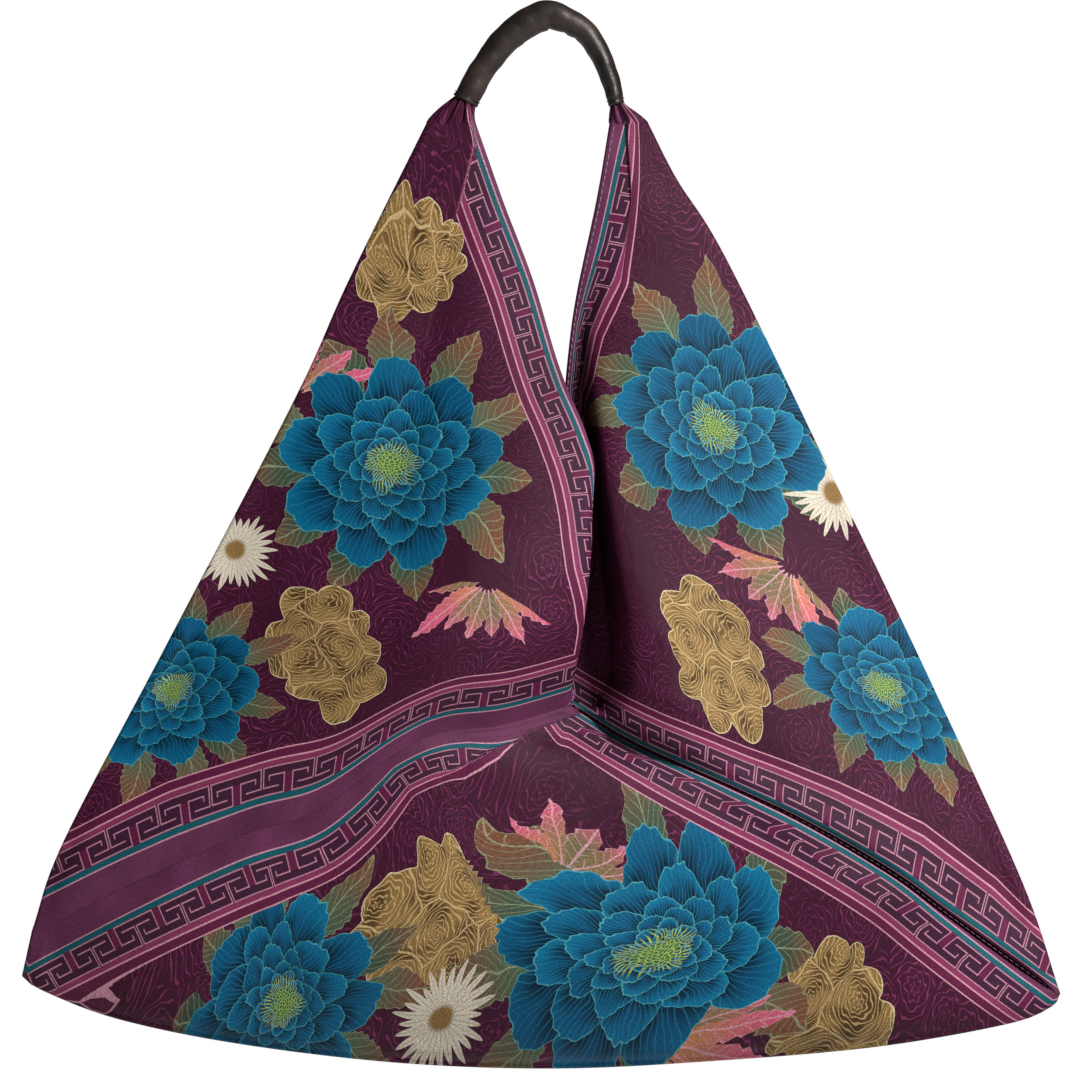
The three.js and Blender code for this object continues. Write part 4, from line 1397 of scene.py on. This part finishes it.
def leaf_ring(f, colour, spot, mark, tones, count, start, length, width, opening=math.pi):
    """Leaves round a centre, out to an opening each way, each one of its own length.

    A leaf starts at a distance from the centre. Its tones are its dark and plain body, its tip
    and its lines. The mark of the centre makes the leaves of each ring different.
    """
    x, y = f.parts(spot)
    angle = f.turn(x, y)
    around = angle * (count / FULL_TURN) + 0.5
    leaf = f.math("FLOOR", around)
    luck = f.chance(leaf, mark * 7.0 + 3.0)
    turned = (around - leaf - 0.5 + (luck - 0.5) * 0.5) * (FULL_TURN / count)
    reach = f.reach(x, y)
    along = reach * f.math("COSINE", turned) - start
    aside = abs(reach * f.math("SINE", turned))
    share = f.math("DIVIDE", along, luck * (0.5 * length) + 0.62 * length, clamp=True)
    teeth = f.math("PINGPONG", along + aside * 0.8, 3.6) * 0.55
    outline = f.math("POWER", share * (1 - share) * 4, 0.8) * (1.25 - share * 0.5) * width - teeth
    gap = outline - aside
    inside = f.ease(gap, 0.0, 0.5) * f.math("GREATER_THAN", along, 0.0)
    if opening < math.pi:
        inside = inside * f.math("LESS_THAN", abs(angle), opening)
    dark, plain, tip, line = tones
    body = f.mix(luck, dark, plain)
    body = f.mix(f.ease(share + luck * 0.5, 0.5, 1.25), body, tip)
    rib = f.line(aside, 0.35, 0.4)
    veins = f.line(f.math("PINGPONG", along - aside * 1.15, 3.4), 0.16, 0.4) * 0.75
    lines = f.math("MAXIMUM", f.math("MAXIMUM", rib, veins), f.ease(gap, 1.1, 0.5))
    body = f.mix(lines * 0.75, body, line)
    return f.mix(inside, colour, body)


def gold_patch(f, colour, spot, place):
    """A patch of gilded scrolls with a scalloped outline, about 60 in radius."""
    x, y = f.parts(spot)
    reach = f.vector("LENGTH", f.joined(x, y * 1.5))
    bulge = abs(f.math("SINE", f.turn(x, y) * 4.5 + 0.4)) * 11
    gap = 50 + bulge - reach
    coil, rim = curls(f, place, 32.0, 2.3, 0.2)
    body = f.mix(f.ease(f.noise(place, 1 / 14, 1.0), 0.3, 0.62), GOLD_DEEP, GOLD)
    body = f.mix(f.math("MAXIMUM", coil * 0.75, f.line(rim, 0.3, 0.4)), body, GOLD_LINE)
    body = f.mix(f.ease(gap, 1.3, 0.8), body, GOLD_EDGE)
    return f.mix(f.ease(gap, 0.0, 0.4), colour, body)


def cream_daisy(f, colour, spot):
    """A daisy of slender cream petals round a golden heart."""
    x, y = f.parts(spot)
    reach = f.reach(x, y)
    around = f.turn(x, y) * (DAISY_PETALS / FULL_TURN)
    petal = f.math("FLOOR", around)
    luck = f.chance(petal, 11.0)
    aside = abs(around - petal - 0.5) * reach * (FULL_TURN / DAISY_PETALS)
    share = reach / (luck * 13 + 31)
    bulge = f.math("MULTIPLY", share * (1 - share) * 4, 1.0, clamp=True)
    gap = f.math("POWER", bulge, 0.6) * 3.1 - aside
    inside = f.math("MAXIMUM", f.ease(gap, 0.0, 0.5), f.ease(reach, 9.5, 9.0))
    body = f.mix(f.line(aside, 0.15, 0.3) * 0.7, CREAM, CREAM_SHADE)
    body = f.mix(f.ease(reach, 12.0, 7.0), body, GOLD)
    return f.mix(inside, colour, body)


# Strokes of the fret for a repeat of 42: middle along, half length, middle of depth, half depth
FRET_REPEAT, FRET_DEPTH, FRET_START = 42, 17, 5.15
FRET_STROKES = [
    (11, 10, 17, 0), (1, 0, 10.8, 6.2), (6.95, 5.95, 4.6, 0), (8.8, 8.8, 0, 0),
    (17.6, 0, 5.9, 5.9), (11.55, 6.05, 11.7, 0), (5.5, 0, 10.35, 1.35),
]
FRET_STROKE = 0.45  # half the width of a stroke
FRET_HOOK = 17.6  # where a repeat's hook ends
HOOK_DEPTH = 0.69  # share of the fret's depth that lies above the foot of a hook
FRET_REPEATS, MOUTH_REPEATS = 12, 15  # repeats along a seam and along a mouth edge
BORDER_STRIPES = [
    (0.0, LINE_PINK), (0.9, TEAL), (4.4, FRET_GROUND), (22.7, ROSE), (25.8, LINE_BRIGHT),
    (26.9, CRIMSON), (32.1, LINE_BRIGHT),
]
BORDER_WIDTH = 33.1
STRIPE_REACH = 40  # depth that the whole range of the stripes stands for


def border(f, colour, x, y, margins, mouth_edges):
    """The printed border of each half of a square: plain margin, stripes and fret."""
    half = f.node("ShaderNodeAttribute", attribute_name="half").outputs["Fac"]
    back = f.math("GREATER_THAN", half, 0.5)
    upright = f.pick(back, x - margins[0], SQUARE - margins[2] - x)
    level = f.pick(back, y - margins[1], SQUARE - margins[3] - y)
    depth = f.math("MINIMUM", upright, level)
    beside = f.math("LESS_THAN", upright, level)
    along = f.pick(beside, x, y)
    repeat = SQUARE / FRET_REPEATS
    if mouth_edges:
        repeat = f.pick(abs(beside - back), repeat, SQUARE / MOUTH_REPEATS)
    t = f.math("PINGPONG", f.math("DIVIDE", along, repeat) * FRET_REPEAT, FRET_REPEAT / 2)
    deep = depth - FRET_START
    fret = f.joined(t, deep)
    from_fret = None
    for middle, reach, low, high in FRET_STROKES:
        away = f.vector("ABSOLUTE", f.vector("SUBTRACT", fret, (middle, low, 0.0)))
        size = (reach + FRET_STROKE, high + FRET_STROKE, 0.0)
        stroke = f.math("MAXIMUM", *f.parts(f.vector("SUBTRACT", away, size)))
        from_fret = stroke if from_fret is None else f.math("MINIMUM", from_fret, stroke)
    between = f.math("GREATER_THAN", t, FRET_HOOK)
    between = between * f.math("LESS_THAN", deep, HOOK_DEPTH * FRET_DEPTH)
    fill = f.mix(between, FRET_GROUND, CRIMSON)
    fill = f.mix(f.ease(from_fret, 0.15, -0.15), fill, FRET_PINK)
    stops = [(start / STRIPE_REACH, tone) for start, tone in BORDER_STRIPES]
    stripes = f.stripes(depth * (1 / STRIPE_REACH), stops)
    on_fret = f.math("LESS_THAN", abs(deep - FRET_DEPTH / 2), FRET_DEPTH / 2 + FRET_STROKE)
    stripes = f.mix(on_fret, stripes, fill)
    colour = f.mix(f.math("LESS_THAN", depth, BORDER_WIDTH), colour, stripes)
    plain = f.mix(f.noise(f.joined(x, y), 1 / 45, 1.5), BAND_DEEP, BAND_PLAIN)
    return f.mix(f.math("LESS_THAN", depth, 0.0), colour, plain)


def printed(name, margins, mouth_edges, design, slanting=0.0):
    """The printed cloth of one square, by its margins and where its motifs stand.

    Where the cloth lies slanting to the front, its motifs are drawn out down the slant.
    """
    f = Finish(name)
    place = f.cloth_place()
    x, y = f.parts(place)
    flatter = f.vector("DOT_PRODUCT", place, (slanting, slanting, 0.0))
    place = f.vector("SUBTRACT", place, f.joined(flatter, flatter))
    design = {
        kind: [(a - slanting * (a + b), b - slanting * (a + b), *rest) for a, b, *rest in spots]
        for kind, spots in design.items()
    }
    wander = f.noise(place, 1 / 34, colour=True)
    wander = f.vector("SCALE", f.vector("SUBTRACT", wander, (0.5, 0.5, 0.5)), 20.0)
    loose = f.vector("ADD", place, wander)
    steady = f.vector("ADD", place, f.vector("SCALE", wander, 0.35))
    coil, _ = curls(f, loose, 37.0, 3.4, 0.15)
    patchy = f.noise(place, 1 / 90, 1.0)
    ground = f.mix(patchy, GROUND_DEEP, GROUND)
    colour = f.mix(coil * f.ease(patchy, 0.25, 0.65) * 0.8, ground, CURL)

    spot, _ = nearest(f, loose, design["gold"])
    colour = gold_patch(f, colour, spot, loose)
    spot, mark = nearest(f, loose, design["blossoms"])
    leaves = {"count": 11, "start": 62, "length": 66, "width": 17}
    colour = leaf_ring(f, colour, spot, mark, LEAF_TONES, **leaves)
    blossom_spot = spot
    spot, mark = nearest(f, steady, design["sprigs"])
    sprig = {"count": 15, "start": 6, "length": 62, "width": 9, "opening": 1.25}
    colour = leaf_ring(f, colour, spot, mark, SPRIG_TONES, **sprig)
    spot, _ = nearest(f, steady, design["daisies"])
    colour = cream_daisy(f, colour, spot)
    colour = blossom(f, colour, blossom_spot)
    colour = border(f, colour, x, y, margins, mouth_edges)

    tone = f.noise(place, 1 / 120, 3.0)
    slub = f.noise(place, 1.1, 2.0)
    dulled = f.ease(tone, 0.75, 0.25) * 0.2 + f.ease(slub, 0.3, 0.7) * 0.42
    f.coat(Base_Color=f.mix(dulled, colour, (0.0, 0.0, 0.0, 1.0)))
    warp, weft = f.math("SINE", x * 9.0), f.math("SINE", y * 9.0)
    weave = f.bump(warp * weft + slub * 2, 0.35, 0.00012)
    soft = f.bump(f.noise(place, 1 / 16, 3.0), 0.5, 0.0016, weave)
    f.coat(Normal=soft, Roughness=0.5, Specular_IOR_Level=0.12)
    return f.material


def woven_lining(name):
    """Plain dark lining in a fine weave."""
    f = Finish(name)
    place = f.cloth_place()
    x, y = f.parts(place)
    slub = f.noise(place, 0.9, 3.0)
    f.coat(Base_Color=f.mix(slub, LINING_DEEP, LINING_PLAIN), Roughness=0.55)
    weave = f.bump(f.math("SINE", x * 7.0) * f.math("SINE", y * 7.0) + slub, 0.4, 0.00015)
    f.coat(Normal=f.bump(f.noise(place, 1 / 18, 3.0), 0.5, 0.002, weave), Specular_IOR_Level=0.2)
    return f.material


def grained_leather(name):
    """Dark leather with fine pebbled grain, rubbed paler in places."""
    f = Finish(name)
    place = f.own_place()
    grain = Number(f, f.cells(place, 900.0, 1.0, feature="SMOOTH_F1")["Distance"])
    worn = f.noise(place, 45.0, 4.0)
    fine = f.noise(place, 2200.0, 2.0)
    colour = f.mix(f.ease(worn, 0.35, 0.75), LEATHER_DEEP, LEATHER)
    colour = f.mix(f.ease(grain, 0.45, 0.75) * 0.6, colour, LEATHER_DEEP)
    f.coat(Base_Color=colour, Roughness=f.pick(worn, 0.38, 0.5), Specular_IOR_Level=0.45)
    ground = f.bump(grain * -1.0 + fine * 0.3, 0.6, 0.0002)
    f.coat(Normal=f.bump(f.noise(place, 110.0, 3.0), 0.45, 0.0012, ground))
    return f.material


def cotton_cord(name):
    """Undyed cotton of the rope inside the handle, with the fibres of its yarns."""
    f = Finish(name)
    place = f.own_place()
    along = f.vector("MULTIPLY", place, (420.0, 1500.0, 900.0))
    fibre = f.noise(along, 1.0, 3.0)
    f.coat(Base_Color=f.mix(fibre, COTTON_SHADE, COTTON), Roughness=0.85)
    f.coat(Normal=f.bump(fibre, 0.7, 0.0005), Specular_IOR_Level=0.2)
    return f.material


def thread_finish(name, colour):
    """Matt sewing thread of a colour, a little fuzzy."""
    f = Finish(name)
    place = f.own_place()
    fuzz = f.noise(place, 2600.0, 2.0)
    f.coat(Base_Color=f.mix(fuzz * 0.35, paint(colour), THREAD_SHADE))
    f.coat(Roughness=0.6, Normal=f.bump(fuzz, 0.4, 0.0002))
    return f.material


# Where the motifs of each square stand on it: place, turn and scale
LEFT_DESIGN = {
    "blossoms": [(138, 232, 20, 0.92), (335, 118, 50, 0.74), (350, 350, 80, 0.85)],
    "gold": [(222, 112, 100, 1.0), (78, 365, 20, 0.75), (225, 425, 40, 0.9), (430, 215, 60, 0.9)],
    "sprigs": [(92, 120, 60, 1.0), (188, 300, 250, 0.9), (430, 330, 20, 0.9)],
    "daisies": [(262, 208, 30, 0.75), (300, 440, 20, 0.8)],
}
RIGHT_DESIGN = {
    "blossoms": [(138, 262, 50, 0.92), (300, 128, 10, 0.78), (335, 345, 30, 0.85)],
    "gold": [(170, 92, 70, 1.0), (420, 200, 0, 0.9), (245, 430, 30, 0.9)],
    "sprigs": [(218, 190, 100, 1.0), (430, 300, 240, 0.9)],
    "daisies": [(226, 255, 60, 0.8), (160, 420, 60, 0.8)],
}
BASE_DESIGN = {
    "blossoms": [(215, 128, 75, 0.95), (115, 322, 20, 0.75), (345, 315, 40, 0.85)],
    "gold": [(120, 205, 60, 1.0), (350, 90, 0, 0.8), (430, 230, 30, 0.9), (220, 420, 10, 0.9)],
    "sprigs": [(118, 112, 80, 0.75), (300, 165, 30, 1.0)],
    "daisies": [(190, 250, 200, 0.75), (330, 430, 60, 0.8)],
}
printed_left = printed("printed_cloth_left", (3, 14, 1.2, 3), True, LEFT_DESIGN)
printed_right = printed("printed_cloth_right", (9, 1.2, 14, 9), True, RIGHT_DESIGN)
printed_base = printed("printed_cloth_base", (14, 1.2, 14, 1.2), False, BASE_DESIGN, 0.15)
lining_finish = woven_lining("plum_lining")
leather_finish = grained_leather("dark_leather")
rope_finish = cotton_cord("cotton_rope")
pale_thread = thread_finish("pale_thread", "#8c7084")
plum_thread = thread_finish("plum_thread", "#5f3850")
dark_thread = thread_finish("dark_thread", "#241c1a")

# Threads in place


def hem_path(points, normals, column):
    """Places and outward directions along a mouth edge's topstitching, clear of its two ends."""
    rows = slice(GATHER_ROWS + 1, points.shape[0] - 3)
    out = normals[rows, column]
    return points[rows, column] + out * THREAD_RADIUS * 0.4, out


hems = [
    ("front_left_hem", left_points, left_normals, HEM_COLUMNS + STITCH_COLUMN),
    ("front_right_hem", right_points, right_normals, HEM_COLUMNS + STITCH_COLUMN),
    ("back_left_hem", left_points, left_normals, -HEM_COLUMNS - 1 - STITCH_COLUMN),
    ("back_right_hem", right_points, right_normals, -HEM_COLUMNS - 1 - STITCH_COLUMN),
]
for node, points, normals, column in hems:
    stitches = row_of_stitches(node + "_stitches", *hem_path(points, normals, column), pale_thread)
    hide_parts(node)
    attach(stitches, "bag")


def seam_path(seam, back):
    """Places and outward directions along a sewn seam, just inside the rolled edges."""
    shares = np.linspace(SEAM_MARGIN, 1 - SEAM_MARGIN, 260)
    path = seam(shares)
    path[:, 1] += STACK + 2 * LAYER_GAP + THREAD_RADIUS
    out = np.tile(FRONT, (len(shares), 1))
    if back:
        path, out = path * [1, -1, 1], -out
    return path, out


for node, seam, back in (("front_seam", right_seam, False), ("back_seam", left_seam, True)):
    stitches = row_of_stitches(node + "_stitches", *seam_path(seam, back), plum_thread)
    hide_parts(node)
    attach(stitches, "bag")

shares = np.linspace(SLEEVE_MARGIN, 1 - SLEEVE_MARGIN, 200)
line, _, _, _ = handle_frames(shares)
back_out = np.tile(BACK, (len(shares), 1))
seam_stitches = row_of_stitches(
    "handle_seam_stitches", line + back_out * (SLEEVE_RADIUS + 0.1), back_out, dark_thread,
    pitch=4.4, length=3.2, dip=0.3,
)
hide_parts("handle_seam")
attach(seam_stitches, "handle")

for node, share in (("left_end_stitching", 0), ("right_end_stitching", 1)):
    angles = np.linspace(0, 2 * np.pi, 60)
    inset = END_STITCH_SETBACK / handle_line.length
    ring = sleeve_ring(inset if share == 0 else 1 - inset, SLEEVE_RADIUS - 0.05, angles)
    stitches = row_of_stitches(
        node + "_thread", ring, unit(ring - ring[:-1].mean(0)), dark_thread,
        pitch=3.3, length=2.5, dip=0.4,
    )
    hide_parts(node)
    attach(stitches, "handle")

# Pieces on their bodies

for cloth, finish, nodes in (
    (left_cloth, printed_left, ("left_square", "left_corner")),
    (right_cloth, printed_right, ("right_square", "right_corner")),
    (base_cloth, printed_base, ("base_square",)),
):
    cloth.data.materials.append(finish)
    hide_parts(*nodes)
    if cloth is base_cloth:
        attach(cloth, "bag")
    else:
        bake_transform(cloth)

for lining, node in (
    (left_lining, "left_lining"), (base_lining, "base_lining"), (right_lining, "right_lining"),
):
    lining.data.materials.append(lining_finish)
    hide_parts(node)
    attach(lining, "bag")

for piece, finish in ((handle_leather, leather_finish), (handle_rope, rope_finish)):
    piece.data.materials.append(finish)
    piece.data.polygons.foreach_set("use_smooth", [True] * len(piece.data.polygons))
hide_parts("handle_sleeve")
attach(handle_leather, "handle")
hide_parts("handle_core")
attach(handle_rope, "handle")

# Camera, floor and light

# Middle, width and distance of the view, in metres
VIEW_X, VIEW_Z, VIEW_WIDTH, VIEW_DISTANCE = -0.0007, -0.3419, 0.7268, 6.0
SENSOR = 36
LAMP_AIM = (0, 0, -0.35)  # middle of the bag
SKY_LIGHT = 0.06

camera_data = bpy.data.cameras.new("photo_camera")
camera_data.lens = SENSOR * VIEW_DISTANCE / VIEW_WIDTH
camera_data.sensor_width = SENSOR
camera_data.clip_end = 50
camera = new_object("photo_camera", camera_data)
camera.location = (VIEW_X, -VIEW_DISTANCE, VIEW_Z)
camera.rotation_euler = (math.pi / 2, 0, 0)
bpy.context.scene.camera = camera


def make_floor():
    """A pale floor well below the hanging bag."""
    mesh = bpy.data.meshes.new("pale_floor")
    low, reach = -1.13, 6.0
    corners = [(-reach, -reach, low), (reach, -reach, low), (reach, reach, low), (-reach, reach, low)]
    mesh.from_pydata(corners, [], [(0, 1, 2, 3)])
    f = Finish("pale_floor_finish")
    f.coat(Base_Color=(0.5, 0.5, 0.5, 1), Roughness=0.9)
    mesh.materials.append(f.material)
    obj = new_object("pale_floor", mesh)


def lamp(name, place, size, power):
    """A square soft lamp that shines on the middle of the bag."""
    data = bpy.data.lights.new(name, "AREA")
    data.shape = "SQUARE"
    data.size = size
    data.energy = power
    obj = new_object(name, data)
    way = np.array(place, float) - LAMP_AIM
    flat = math.hypot(way[0], way[1])
    obj.location = place
    obj.rotation_euler = (math.atan2(flat, way[2]), 0, math.atan2(way[1], way[0]) + math.pi / 2)
    return obj


def make_sky():
    """A white backdrop that sheds only a little light."""
    world = bpy.data.worlds.new("studio")
    world.use_nodes = True
    sky = world.node_tree
    backdrop = sky.nodes["Background"]
    backdrop.inputs[0].default_value = (1, 1, 1, 1)
    seen = sky.nodes.new("ShaderNodeLightPath").outputs["Is Camera Ray"]
    strength = sky.nodes.new("ShaderNodeMapRange")
    strength.inputs["To Min"].default_value = SKY_LIGHT
    sky.links.new(seen, strength.inputs["Value"])
    sky.links.new(strength.outputs[0], backdrop.inputs[1])
    bpy.context.scene.world = world


make_floor()
make_sky()
lamp("key_light", (2.3, -2.6, 1.9), 1.0, 255)
back_light = lamp("back_light", (-2.0, 2.9, 1.6), 1.6, 170)
back_light.visible_glossy = False  # so that it leaves no bright rim on the leather
bpy.context.scene.view_settings.view_transform = "Standard"
